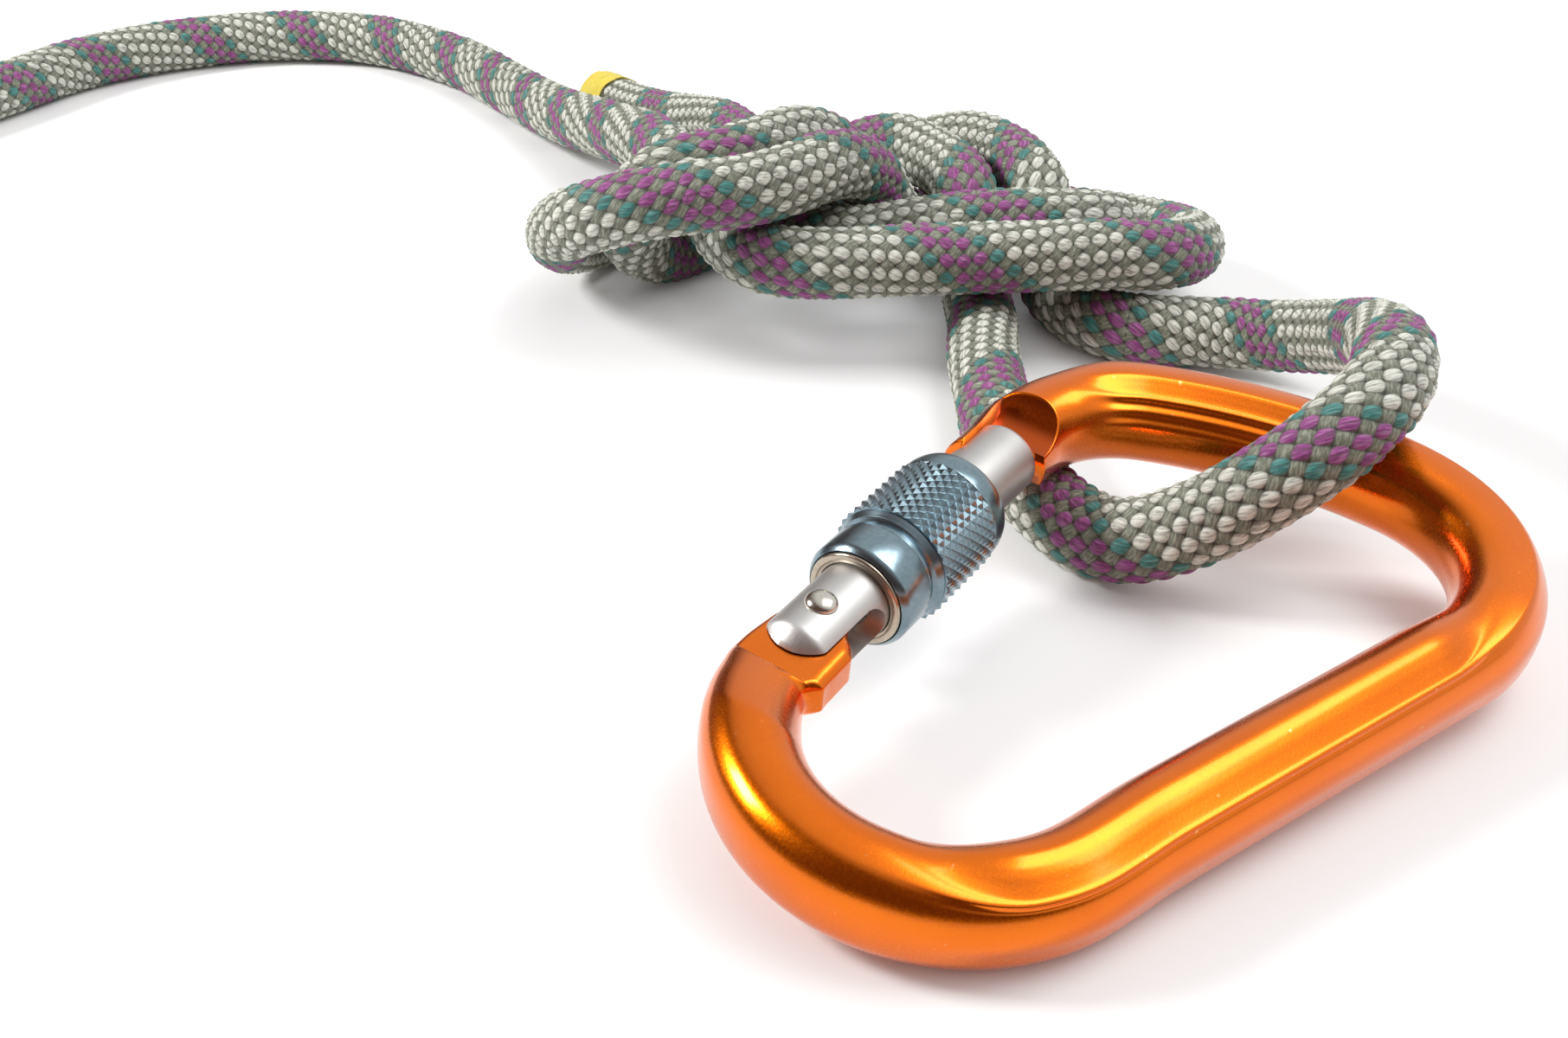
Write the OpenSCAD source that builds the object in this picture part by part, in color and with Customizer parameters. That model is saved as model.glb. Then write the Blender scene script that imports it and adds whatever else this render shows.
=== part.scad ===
// Pear-shaped screw-gate carabiner tied into a rope by a doubled figure-eight loop.
// Millimetres. At rest the gate is shut and the sleeve is screwed back to the hinge.
// The carabiner has its own axes: along the gate, across to the spine, and up off its flat side.

/* [Frame bar] */
// Thickness of the bar in the plane of the ring
bar_w = 10.8; // [9:0.1:12]
// Thickness of the bar across the plane of the ring
bar_h = 12; // [10.9:0.1:14]
// Small end, radius to the middle of the bar
small_end_r = 20.5; // [17:0.5:24]
// Small end, angle turned
small_end_turn = 170; // [165:0.5:175]
// Reverse bend into the spine, radius
spine_bend_r = 26; // [20:1:40]
// Reverse bend into the spine, angle turned
spine_bend_turn = 9.5; // [6:0.5:12]
// Wide end, radius to the middle of the bar
wide_end_r = 19.5; // [17:0.5:22]
// Wide end, angle turned
wide_end_turn = 107.5; // [105:0.5:110]
// Top bar, radius of its long curve
top_bar_r = 67; // [60:1:75]
// Top bar, length along its middle
top_bar_len = 32.2; // [30:0.1:34]

/* [Nose] */
// Distance from the end of the gate to where the bent bar ends
nose_past = 2.5; // [2:0.1:4]
// Reach of the lip back along the gate
lip_len = 8.5; // [6:0.5:10]
// Radius of the lip, inside the sleeve when locked
lip_r = 5.6; // [5:0.1:5.8]
// Radius of the scallops that thin the nose to a tongue
scallop_r = 6.3; // [6:0.1:6.6]
// Distance from the end of the gate to the middle of the scallops
scallop_past = 0.5; // [0.3:0.1:1]
// Half thickness of the tongue
tongue_h = 2.2; // [1.8:0.1:2.6]

/* [Gate] */
// Radius of the gate
gate_r = 4.7; // [4:0.1:5]
// Length of the gate from its pivot
gate_len = 42; // [40:0.1:43]
// Length of the gate behind its pivot, up to its bevel
gate_back = 4.2; // [3.6:0.1:4.6]
// Length of the bevel on its hinge end
bevel_len = 2.4; // [1.6:0.1:2.8]
// Radius at the end of that bevel
bevel_r = 2.9; // [2.8:0.1:3.4]
// Height of the flat that passes under the lip
lap_q = 2.9; // [2.5:0.1:3.2]
// Length of that flat
lap_len = 6.6; // [6:0.1:8]
// Radius of the bore for the spring
spring_bore_r = 2.7; // [2.5:0.1:3]
// Where the spring bore ends
spring_bore_end = 30; // [26:1:34]
// Where the hinge slot ends
slot_end = 6.6; // [6:0.1:7]

/* [Hinge] */
// Thickness of the tang on the frame
tang_t = 5; // [4:0.1:5.5]
// Radius of the round of the tang
tang_r = 4.9; // [4.5:0.1:5.2]
// Length of the tang's root inside the bar
tang_root = 1.5; // [1:0.5:3]
// Flat on the tang that the plunger bears on
tang_flat = 3.2; // [3:0.1:3.5]
// Distance from the pivot to the shoulder
shoulder = 9; // [7:0.1:10]
// Length over which the bar thins down to the shoulder
taper_len = 9; // [7:0.5:11]
// Half thickness of the bar at the shoulder
taper_h = 3.1; // [2.8:0.1:4]
// Radius of the rivet
rivet_r = 1.6; // [1.2:0.1:2]
// Radius of the rivet's heads
rivet_head_r = 2.1; // [1.9:0.1:2.4]
// Height of the rivet's heads
rivet_head_h = 1.1; // [0.8:0.1:1.4]

/* [Sleeve] */
// Hinge end of the sleeve
sleeve_at = 7.6; // [7:0.1:8]
// Length of the sleeve
sleeve_len = 22.4; // [20:0.1:24]
// Radius of the smooth collar
collar_r = 6.8; // [6.5:0.1:7.2]
// Length of the smooth collar
collar_len = 5.6; // [5:0.1:6.5]
// Radius of the knurled grip
grip_r = 7.7; // [7.4:0.1:8]
// Radius of the rim at the nose end
rim_r = 7.2; // [6.8:0.1:7.4]
// Length of the rim
rim_len = 1.6; // [1:0.1:2]
// Radius of the nose-end bore, which slides over the lip
mouth_r = 6; // [5.8:0.1:6.2]
// Depth of the nose-end bore
mouth_len = 5; // [4:0.1:6]
// Outer radius of the steel ring
ring_r = 6; // [5.8:0.1:6.2]
// Length of the steel ring
ring_len = 2.2; // [1.8:0.1:2.6]
// How far the ring stands out of the sleeve
ring_out = 0.4; // [0.2:0.1:0.6]

/* [Spring] */
// Radius of the plunger
plunger_r = 2.4; // [2.2:0.1:2.6]
// Radius of the plunger's tip
plunger_tip_r = 1.6; // [1.2:0.1:1.8]
// Where the plunger ends, from the pivot
plunger_end = 12; // [11:0.1:13]
// Length of the thick part of the plunger
plunger_body = 4.5; // [4:0.1:5]
// Radius of the middle of the spring's wire
spring_r = 1.9; // [1.7:0.1:2]
// Diameter of the spring's wire
wire_d = 0.7; // [0.6:0.1:0.8]
// Turns in the spring
spring_turns = 9; // [7:1:10]

/* [Fits] */
// Gap around a turning or sliding piece, on the radius
run_fit = 0.05; // [0.02:0.01:0.08]
// Gap around a piece that is fixed in its hole, on the radius
fixed_fit = 0.02; // [0.01:0.01:0.04]
// Gap between faces that pass each other
face_gap = 0.2; // [0.15:0.05:0.3]

/* [Rope] */
// Diameter of the rope
rope_d = 11; // [10.6:0.1:11]
// Length of the wraps on its ends
wrap_len = 8; // [6:1:10]
// Thickness of the wraps
wrap_t = 0.4; // [0.3:0.1:0.6]
// Radius of the coil's outer turn
coil_r = 70; // [68:0.5:72]
// Spacing of the coil's turns
coil_pitch = 11.6; // [11.5:0.1:12]
// Turns in each layer of the coil
coil_turns = 2; // [1:1:3]
// Width of the strap that ties the coil
tie_w = 12; // [10:1:16]
// Thickness of the strap
tie_t = 1; // [0.8:0.1:1]

/* [Pose] */
// Place of the hinge along the object
pivot_x = -21; // [-22:0.5:-20]
// Place of the hinge across the object
pivot_y = 28; // [27:0.5:29]
// Height of the hinge above the floor
pivot_z = 12.75; // [12:0.05:14]
// Lean across the gate
lean = 8; // [6:0.25:10]
// Rise along the gate
rise = 4.75; // [3:0.25:6]

/* [Hidden] */
$fn = 96;
eps = 0.01;
bar_sides = 20;
seam_len = 0.6;
seam_proud = 0.02;
pivot = [pivot_x, pivot_y, pivot_z];
// Moves the hand-set layout so that the carabiner's box stands over the origin
shift = [0.1, 0.6, 0];

// The bar's middle line, walked from the pivot: straight, small end, reverse bend, spine,
// wide end, top bar, nose curve. Two lengths are solved so that the ring closes on the gate.
hinge_run = 6.5;
nose_run = 1.5;
nose_at = gate_len + nose_past;
top_bar_turn = top_bar_len / top_bar_r * 180 / PI;
nose_turn = 360 - small_end_turn + spine_bend_turn - wide_end_turn - top_bar_turn;
head_spine_bend = 180 + small_end_turn;
head_spine = head_spine_bend - spine_bend_turn;
head_top = head_spine + wide_end_turn;
head_nose = head_top + top_bar_turn;

function along(head) = [cos(head), sin(head)];
function left_arc(head, turn) = [sin(head + turn) - sin(head), cos(head) - cos(head + turn)];
function right_arc(head, turn) = [sin(head) - sin(head - turn), cos(head - turn) - cos(head)];

at_small = hinge_run * along(180);
at_bend = at_small + small_end_r * left_arc(180, small_end_turn);
at_spine = at_bend + spine_bend_r * right_arc(head_spine_bend, spine_bend_turn);
known = at_spine + wide_end_r * left_arc(head_spine, wide_end_turn)
    + top_bar_r * left_arc(head_top, top_bar_turn) + nose_run * along(180);
spine_dir = along(head_spine);
nose_dir = left_arc(head_nose, nose_turn);
short_by = [nose_at, 0] - known;
solve = spine_dir[0] * nose_dir[1] - spine_dir[1] * nose_dir[0];
spine_len = (short_by[0] * nose_dir[1] - short_by[1] * nose_dir[0]) / solve;
nose_r = (spine_dir[0] * short_by[1] - spine_dir[1] * short_by[0]) / solve;
at_wide = at_spine + spine_len * spine_dir;
at_top = at_wide + wide_end_r * left_arc(head_spine, wide_end_turn);
at_nose = at_top + top_bar_r * left_arc(head_top, top_bar_turn);

// Derived fits
gate_gap_end = gate_len + 2 * face_gap;
lip_at = nose_at - lip_len;
lip_under = lap_q + 1.5 * face_gap;
slot_h = tang_t + 2 * face_gap;
cheek_face = gate_r + run_fit;
sleeve_end = sleeve_at + sleeve_len;
ring_at = sleeve_at - ring_out;
ring_seat = ring_len - ring_out + face_gap;
plunger_at = tang_flat + face_gap;
plunger_step = plunger_end - plunger_body;
spring_from = plunger_end + wire_d / 2 + eps;
spring_to = spring_bore_end - wire_d / 2 - face_gap;

// Rope route, chosen by hand. The knot has its own axes: along it, back, and up.
rope_r = rope_d / 2;
rope_sides = 8;
knot_at = [36, 115];
knot_turn = -48.65;
lead_points = [
    [-2, 107, 6.2], [3.5, 93, 8], [8.5, 80, 10.5], [13.5, 65.5, 13.5], [18.5, 49.5, 16.8],
    [22.5, 34, 17.3], [26, 20, 16.2], [28.5, 7, 15.8], [33, -2.5, 16.2], [41, -7, 17],
    [51, -8, 17.3], [61, -8.5, 17.4], [72, -9, 17.4], [83, -9, 17.2], [93, -7.5, 16],
    [100.5, 0, 13.5], [103.5, 11, 10.5], [101, 23.5, 7.5], [93, 33, 5.8], [82, 37.4, 5.5],
    [71, 38, 5.5], [63, 36.8, 5.8], [56.3, 33, 9.5], [51, 29, 16.5], [46.8, 25, 23.3],
    [40, 18.8, 27.6], [32, 12, 27.8], [25, 9, 27.6], [19, 9, 26.2], [14.5, 11.5, 22],
    [12.8, 15.5, 16], [14, 20.5, 10.5], [18, 26, 6.6], [24, 31.5, 5.5], [31.5, 37.5, 5.5],
    [39.5, 44, 6], [48, 48, 10], [55.5, 47.5, 15], [61.5, 43, 17.3], [65.5, 34.5, 17.5],
    [68, 26.5, 17.4], [68.6, 20, 15.8], [68.4, 14.5, 11.2], [68, 9, 7], [67.2, 2.5, 5.5],
    [66, -8, 5.5], [64, -18, 5.5]];
tail_points = [
    [88, -11, 5.5], [83, -5, 5.5], [80.8, 2.5, 5.5], [80.5, 9, 7], [80.5, 14.4, 11.5],
    [80.7, 20, 16], [80, 26.5, 17.6], [78.3, 34.8, 17.7], [74, 44.5, 16.8], [67, 52.8, 12.8],
    [57.5, 57.5, 8.6], [45.5, 59.3, 6.2], [33, 55.5, 5.6], [21.5, 47.5, 5.5], [11, 39, 5.5],
    [4, 29.5, 7.6], [1.4, 19, 12.6], [2.4, 9, 18.4], [6.7, 0.5, 23.2], [13.5, -3.5, 26.2],
    [21.5, -4, 27.3], [29.5, -3, 27.6], [37, 0.5, 27.9], [44.5, 6.8, 27.6], [50.2, 12.9, 23.8],
    [54.2, 17.4, 16.5], [58.6, 21.5, 9.5], [64.8, 24.8, 5.8], [72, 25.9, 5.5],
    [80.5, 25.8, 5.5], [88.2, 22, 6.9], [92, 15, 10], [90.5, 7.8, 13.7], [84.6, 3.4, 17],
    [76, 3.2, 17.9], [66, 3.6, 17.8], [57, 3.6, 17], [48.5, 4.8, 15.6], [42, 10.5, 15],
    [38.5, 19, 15.2], [36.8, 29, 15.9], [34.9, 41.5, 17], [31.9, 54.5, 16.9],
    [27.3, 67, 14.2], [22.2, 79, 11.2], [16.9, 91.5, 8.9], [11.4, 104, 7.6]];
loop_points = [
    [55, 48.5, 5.5], [44, 40.5, 5.5], [35, 32, 5.5], [28, 22, 5.5], [26, 13, 6.5],
    [28, 4.5, 11], [31.5, -3, 17.5], [37.5, -8, 22.5], [47, -10, 25.4], [58, -7.5, 24.8],
    [69, -3, 21.5], [79, 2.5, 17], [87, 10, 12], [91.5, 19, 8], [91.5, 28.5, 6]];
run_points = [
    [0, 283, 6.8], [12, 283, 6.7], [34, 284.3, 6], [58, 286.5, 5.6], [82, 288, 5.5],
    [103, 281.5, 5.5], [120, 268, 5.5], [130, 247, 5.5], [128.5, 222, 5.5], [122, 203, 5.6]];
coil_at = [0, 283 + coil_r];
coil_z = 6.8;

function from_knot(k) = [
    knot_at[0] + k[0] * cos(knot_turn) - k[1] * sin(knot_turn),
    knot_at[1] + k[0] * sin(knot_turn) + k[1] * cos(knot_turn), k[2]];
rope_points = concat(run_points, [for (k = lead_points) from_knot(k)],
    loop_points, [for (k = tail_points) from_knot(k)]);

// A smooth line through the points, kept clear of the floor
floor_gap = 0.1;
steps = 2;
function between(a, b, c, d, t) = 0.5 * (2 * b + (c - a) * t + (2 * a - 5 * b + 4 * c - d) * t * t
    + (3 * b - a - 3 * c + d) * t * t * t);
function off_floor(p) = [p[0], p[1], max(p[2], rope_r + floor_gap)];
function near(pts, i) = i < 0 ? 2 * pts[0] - pts[1]
    : i >= len(pts) ? 2 * pts[len(pts) - 1] - pts[len(pts) - 2] : pts[i];
function smooth(pts) = concat(
    [for (i = [0:len(pts) - 2]) for (k = [0:steps - 1])
        off_floor(between(near(pts, i - 1), pts[i], pts[i + 1], near(pts, i + 2), k / steps))],
    [off_floor(pts[len(pts) - 1])]);
function unit(v) = v / norm(v);
function headings(path) = [for (i = [0:len(path) - 1])
    unit(path[min(i + 1, len(path) - 1)] - path[max(i - 1, 0)])];
function square_to(u, t) = unit(u - (u * t) * t);
function sides_of(ts) = [for (i = 0, u = square_to([0, 0, 1], ts[0]); i < len(ts);
    i = i + 1, u = square_to(u, ts[min(i, len(ts) - 1)])) u];

rope_path = smooth(rope_points);
rope_heads = headings(rope_path);
rope_sides_up = sides_of(rope_heads);
run_end = steps * len(run_points);
lead_end = run_end + steps * len(lead_points);
loop_end = lead_end + steps * len(loop_points);
tail_end = len(rope_path) - 1;

// The coil: in along the floor, up a layer where the spiral turns back, out again on top
coil_rings = 24;
coil_sides = 6;
layer_angle = 360 * coil_turns;
climb_angle = 180;
coil_angle = 2 * layer_angle + climb_angle;
inner_r = coil_r - coil_pitch * coil_turns;
function coil_radius(t) = t <= layer_angle + climb_angle / 2 ? coil_r - coil_pitch * t / 360
    : coil_r - coil_pitch * (coil_angle - t) / 360;
function coil_climb(t) = t <= layer_angle ? 0
    : t >= layer_angle + climb_angle ? 1 : (1 - cos(t - layer_angle)) / 2;
function coil_point(t) = [
    coil_at[0] + coil_radius(t) * cos(-90 - t),
    coil_at[1] + coil_radius(t) * sin(-90 - t), coil_z + coil_pitch * coil_climb(t)];
coil_count = coil_rings * coil_angle / 360;
coil_wound = [for (i = [0:coil_count]) coil_point(360 * i / coil_rings)];
coil_last = coil_wound[coil_count];
coil_way = unit(coil_last - coil_wound[coil_count - 1]);
coil_path = concat(coil_wound, [coil_last + rope_d * coil_way]);
coil_heads = concat([[-1, 0, 0]], [for (i = [1:coil_count + 1]) headings(coil_path)[i]]);
coil_sides_up = sides_of(coil_heads);

// Least gap between coil points more than half a turn apart, less the rope's thickness
coil_gap = min([for (i = [0:coil_count - 13]) for (j = [i + 12:coil_count])
    norm(coil_wound[i] - coil_wound[j])]) - rope_d;
echo(coil_gap = coil_gap, spine_len = spine_len, nose_r = nose_r);

// Puts a piece drawn in the carabiner's axes where the carabiner lies
module placed() {
    translate(pivot + shift) rotate([lean, -rise, 0]) children();
}

module rod(from, to, r) {
    translate([from, 0, 0]) rotate([0, 90, 0]) cylinder(r = r, h = to - from);
}

module bar_section(proud = 0) {
    step = 360 / bar_sides;
    polygon([for (k = [0:bar_sides - 1]) let (a = (k + 0.5) * step)
        [(bar_w + 2 * proud) * cos(a), (bar_h + 2 * proud) * sin(a)] / (2 * cos(step / 2))]);
}

// A thin band over a seam, so that the two pieces of bar fuse into one
module bar_seam(at, head) {
    translate([at[0], at[1], 0]) rotate([0, 0, head]) rotate([90, 0, 90])
        linear_extrude(seam_len, center = true) bar_section(seam_proud);
}

module bar_straight(at, head, len) {
    translate([at[0], at[1], 0]) rotate([0, 0, head]) rotate([90, 0, 90])
        linear_extrude(len) bar_section();
}

module bar_left(at, head, r, turn) {
    translate([at[0] - r * sin(head), at[1] + r * cos(head), 0]) rotate([0, 0, head - 90])
        rotate_extrude(angle = turn) translate([r, 0]) bar_section();
}

module bar_right(at, head, r, turn) {
    translate([at[0] + r * sin(head), at[1] - r * cos(head), 0]) rotate([0, 0, head + 90 - turn])
        rotate_extrude(angle = turn) translate([r, 0]) bar_section();
}

// A tube of flat-sided rings along part of a path
module tube(path, heads, ups, from, to, r, sides) {
    points = [for (i = [from:to]) for (k = [0:sides - 1])
        path[i] + shift + r * (cos(360 * k / sides) * ups[i]
            + sin(360 * k / sides) * cross(heads[i], ups[i]))];
    rows = to - from;
    walls = [for (i = [0:rows - 1]) for (k = [0:sides - 1])
        let (a = i * sides + k, b = i * sides + (k + 1) % sides)
        each [[a, a + sides, b + sides], [a, b + sides, b]]];
    start = [[for (k = [0:sides - 1]) k]];
    end = [[for (k = [sides - 1:-1:0]) rows * sides + k]];
    polyhedron(points = points, faces = concat(start, walls, end));
}

// Wedge that thins the bar down to the shoulder, on one face
module hinge_taper() {
    translate([0, bar_w, 0]) rotate([90, 0, 0]) linear_extrude(2.4 * bar_w)
        polygon([[-shoulder - taper_len, bar_h / 2 + seam_proud], [-shoulder, taper_h],
            [-shoulder + eps, bar_h], [-shoulder - taper_len, bar_h]]);
}

// One forged bar: bent ring, scalloped nose with its lip, and the tang of the hinge
module carabiner_body() {
    color([0.85, 0.40, 0.05]) placed() difference() {
        union() {
            difference() {
                union() {
                    bar_straight([0, 0], 180, hinge_run);
                    bar_left(at_small, 180, small_end_r, small_end_turn);
                    bar_right(at_bend, head_spine_bend, spine_bend_r, spine_bend_turn);
                    bar_straight(at_spine, head_spine, spine_len);
                    bar_left(at_wide, head_spine, wide_end_r, wide_end_turn);
                    bar_left(at_top, head_top, top_bar_r, top_bar_turn);
                    bar_left(at_nose, head_nose, nose_r, nose_turn);
                    bar_straight([nose_at + nose_run, 0], 180, nose_run + nose_at - gate_gap_end);
                    bar_seam(at_small, 180);
                    bar_seam(at_bend, head_spine_bend);
                    bar_seam(at_spine, head_spine);
                    bar_seam(at_wide, head_spine);
                    bar_seam(at_top, head_top);
                    bar_seam(at_nose, head_nose);
                    bar_seam([nose_at + nose_run, 0], 180);
                }
                translate([-shoulder, -bar_h, -bar_h]) cube([2 * shoulder, 2 * bar_h, 2 * bar_h]);
                for (side = [-1, 1])
                    translate([gate_len + scallop_past, 0, side * (tongue_h + scallop_r)])
                        rotate([90, 0, 0]) cylinder(r = scallop_r, h = 2.4 * bar_w, center = true);
                for (side = [0, 180]) rotate([side, 0, 0]) hinge_taper();
            }
            intersection() {
                rod(lip_at, nose_at + nose_run, lip_r);
                translate([lip_at, lip_under, -bar_h]) cube([2 * lip_len, bar_h, 2 * bar_h]);
            }
            intersection() {
                union() {
                    cylinder(r = tang_r, h = tang_t, center = true);
                    translate([-shoulder - tang_root, -tang_r, -tang_t / 2])
                        cube([shoulder + tang_root, 2 * tang_r, tang_t]);
                }
                translate([-2 * shoulder, -bar_h, -bar_h])
                    cube([2 * shoulder + tang_flat, 2 * bar_h, 2 * bar_h]);
            }
        }
        cylinder(r = rivet_r + fixed_fit, h = 2 * bar_h, center = true);
    }
}

module hinge_rivet() {
    color([0.78, 0.77, 0.75]) placed() {
        cylinder(r = rivet_r, h = 2 * cheek_face + 2 * eps, center = true);
        for (side = [0, 180]) rotate([side, 0, 0]) translate([0, 0, cheek_face])
            cylinder(r1 = rivet_head_r, r2 = 0.6 * rivet_head_r, h = rivet_head_h);
    }
}

// Round gate with a slot for the tang, a bore for the spring and a flat under the lip
module gate() {
    color([0.78, 0.78, 0.77]) placed() difference() {
        union() {
            rod(-gate_back, gate_len, gate_r);
            translate([-gate_back - bevel_len, 0, 0]) rotate([0, 90, 0])
                cylinder(r1 = bevel_r, r2 = gate_r, h = bevel_len);
        }
        translate([-shoulder, -2 * gate_r, -slot_h / 2])
            cube([shoulder + slot_end - slot_h / 2, 4 * gate_r, slot_h]);
        translate([slot_end - slot_h / 2, 0, 0]) rotate([90, 0, 0])
            cylinder(d = slot_h, h = 4 * gate_r, center = true);
        rod(slot_end - slot_h / 2, spring_bore_end, spring_bore_r);
        cylinder(r = rivet_r + run_fit, h = 4 * gate_r, center = true);
        translate([gate_len - lap_len, lap_q, -gate_r]) cube([2 * lap_len, gate_r, 2 * gate_r]);
    }
}

module spring_plunger() {
    color([0.72, 0.72, 0.72]) placed() {
        rod(plunger_at, plunger_step + eps, plunger_tip_r);
        rod(plunger_step, plunger_end, plunger_r);
    }
}

// Compression spring between the plunger and the end of its bore
module gate_spring() {
    rings = 8;
    count = rings * spring_turns;
    path = [for (i = [0:count]) [spring_from + (spring_to - spring_from) * i / count,
        spring_r * cos(360 * i / rings), spring_r * sin(360 * i / rings)]];
    heads = headings(path);
    color([0.6, 0.6, 0.62]) placed() translate(-shift)
        tube(path, heads, sides_of(heads), 0, count, wire_d / 2, 6);
}

module sleeve_ring() {
    color([0.62, 0.58, 0.52]) placed() difference() {
        rod(ring_at, ring_at + ring_len, ring_r);
        rod(ring_at - 1, ring_at + ring_len + 1, gate_r + run_fit);
    }
}

module locking_sleeve() {
    color([0.37, 0.5, 0.56]) placed() difference() {
        union() {
            rod(sleeve_at, sleeve_at + collar_len, collar_r);
            rod(sleeve_at + collar_len, sleeve_end - rim_len, collar_r - 2 * face_gap);
            rod(sleeve_at + collar_len + 1.2, sleeve_end - rim_len, grip_r);
            rod(sleeve_end - rim_len, sleeve_end, rim_r);
        }
        rod(sleeve_at - 1, sleeve_end + 1, gate_r + run_fit);
        rod(sleeve_at - 1, sleeve_at + ring_seat, ring_r + run_fit);
        rod(sleeve_end - mouth_len, sleeve_end + 1, mouth_r);
    }
}

module rope_piece(from, to) {
    color([0.55, 0.55, 0.5]) tube(rope_path, rope_heads, rope_sides_up, from, to, rope_r, rope_sides);
}

module rope_lead() {
    rope_piece(0, run_end);
}

module rope_knot_lead() {
    rope_piece(run_end, lead_end);
}

module rope_loop() {
    rope_piece(lead_end, loop_end);
}

module rope_knot_tail() {
    rope_piece(loop_end, tail_end);
}

module rope_coil() {
    color([0.55, 0.55, 0.5])
        tube(coil_path, coil_heads, coil_sides_up, 0, coil_count + 1, rope_r, coil_sides);
}

// Strap round the four strands on the side of the coil with no climb
module coil_tie() {
    room = 0.9;
    low = coil_z - rope_r - 0.3;
    high = coil_z + coil_pitch + rope_r + 0.3;
    mid_r = coil_r - coil_pitch * coil_turns / 2 - coil_pitch / 4;
    half = coil_pitch * (coil_turns - 1) / 2 + coil_pitch / 4 + rope_r + room;
    color([0.12, 0.12, 0.12]) translate(shift + [coil_at[0] + mid_r, coil_at[1], 0])
        rotate([90, 0, 0]) linear_extrude(tie_w, center = true) difference() {
            translate([-half - tie_t, low - tie_t]) square([2 * half + 2 * tie_t, high - low + 2 * tie_t]);
            translate([-half, low]) square([2 * half, high - low]);
        }
}

// Tape over a rope end, closed past the cut
module wrap(tip, way) {
    color([0.72, 0.64, 0.2]) translate(tip + shift)
        rotate([0, acos(way[2]), atan2(way[1], way[0])]) difference() {
            translate([0, 0, -wrap_len]) cylinder(r = rope_r + 2 * run_fit + wrap_t, h = wrap_len + 2 * wrap_t);
            translate([0, 0, -wrap_len - 1]) cylinder(r = rope_r + 2 * run_fit, h = wrap_len + 1 + run_fit);
        }
}

module tail_wrap() {
    wrap(rope_path[tail_end], rope_heads[tail_end]);
}

module end_wrap() {
    wrap(coil_path[coil_count + 1], coil_way);
}

carabiner_body();
hinge_rivet();
gate();
gate_spring();
spring_plunger();
sleeve_ring();
locking_sleeve();
rope_loop();
rope_knot_lead();
rope_knot_tail();
rope_lead();
rope_coil();
coil_tie();
tail_wrap();
end_wrap();
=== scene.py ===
"""Pear-shaped screw-gate carabiner tied into a braided rope by a doubled figure-eight loop."""
import bpy
import numpy as np
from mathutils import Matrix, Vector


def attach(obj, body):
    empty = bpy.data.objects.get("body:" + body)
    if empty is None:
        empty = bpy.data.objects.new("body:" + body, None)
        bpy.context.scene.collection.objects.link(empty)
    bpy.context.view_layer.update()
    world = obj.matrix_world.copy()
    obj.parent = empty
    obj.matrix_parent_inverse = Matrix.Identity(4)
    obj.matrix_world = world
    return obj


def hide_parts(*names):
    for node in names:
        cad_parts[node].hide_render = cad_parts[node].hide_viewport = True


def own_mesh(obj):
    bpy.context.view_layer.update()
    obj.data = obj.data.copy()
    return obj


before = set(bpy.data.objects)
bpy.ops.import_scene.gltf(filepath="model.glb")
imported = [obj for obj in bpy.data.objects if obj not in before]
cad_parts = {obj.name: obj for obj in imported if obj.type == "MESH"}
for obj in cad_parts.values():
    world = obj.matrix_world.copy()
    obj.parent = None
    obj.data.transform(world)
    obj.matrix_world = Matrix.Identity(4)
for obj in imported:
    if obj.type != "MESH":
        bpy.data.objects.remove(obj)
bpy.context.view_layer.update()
scene = bpy.context.scene
scene.view_settings.view_transform = "Standard"
# One millimetre in metres. Points and profiles below are in millimetres
MM = 0.001


# The camera stands low over the hinge end and looks along the gate to the knot,
# with a long lens. Its place comes from the outline of the carabiner in the photograph.
CAMERA_AT = np.array((-0.16674, -0.06742, 0.13064))
CAMERA_TURN = np.radians((59.42, 0.0, -55.41))
LENS, SENSOR = 43.70, 36.0
lens = bpy.data.cameras.new("Camera")
lens.lens = LENS
lens.sensor_fit = "HORIZONTAL"
lens.sensor_width = SENSOR
lens.clip_start = 0.005
camera = bpy.data.objects.new("Camera", lens)
camera.location = CAMERA_AT
camera.rotation_euler = CAMERA_TURN
scene.collection.objects.link(camera)
scene.camera = camera


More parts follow.
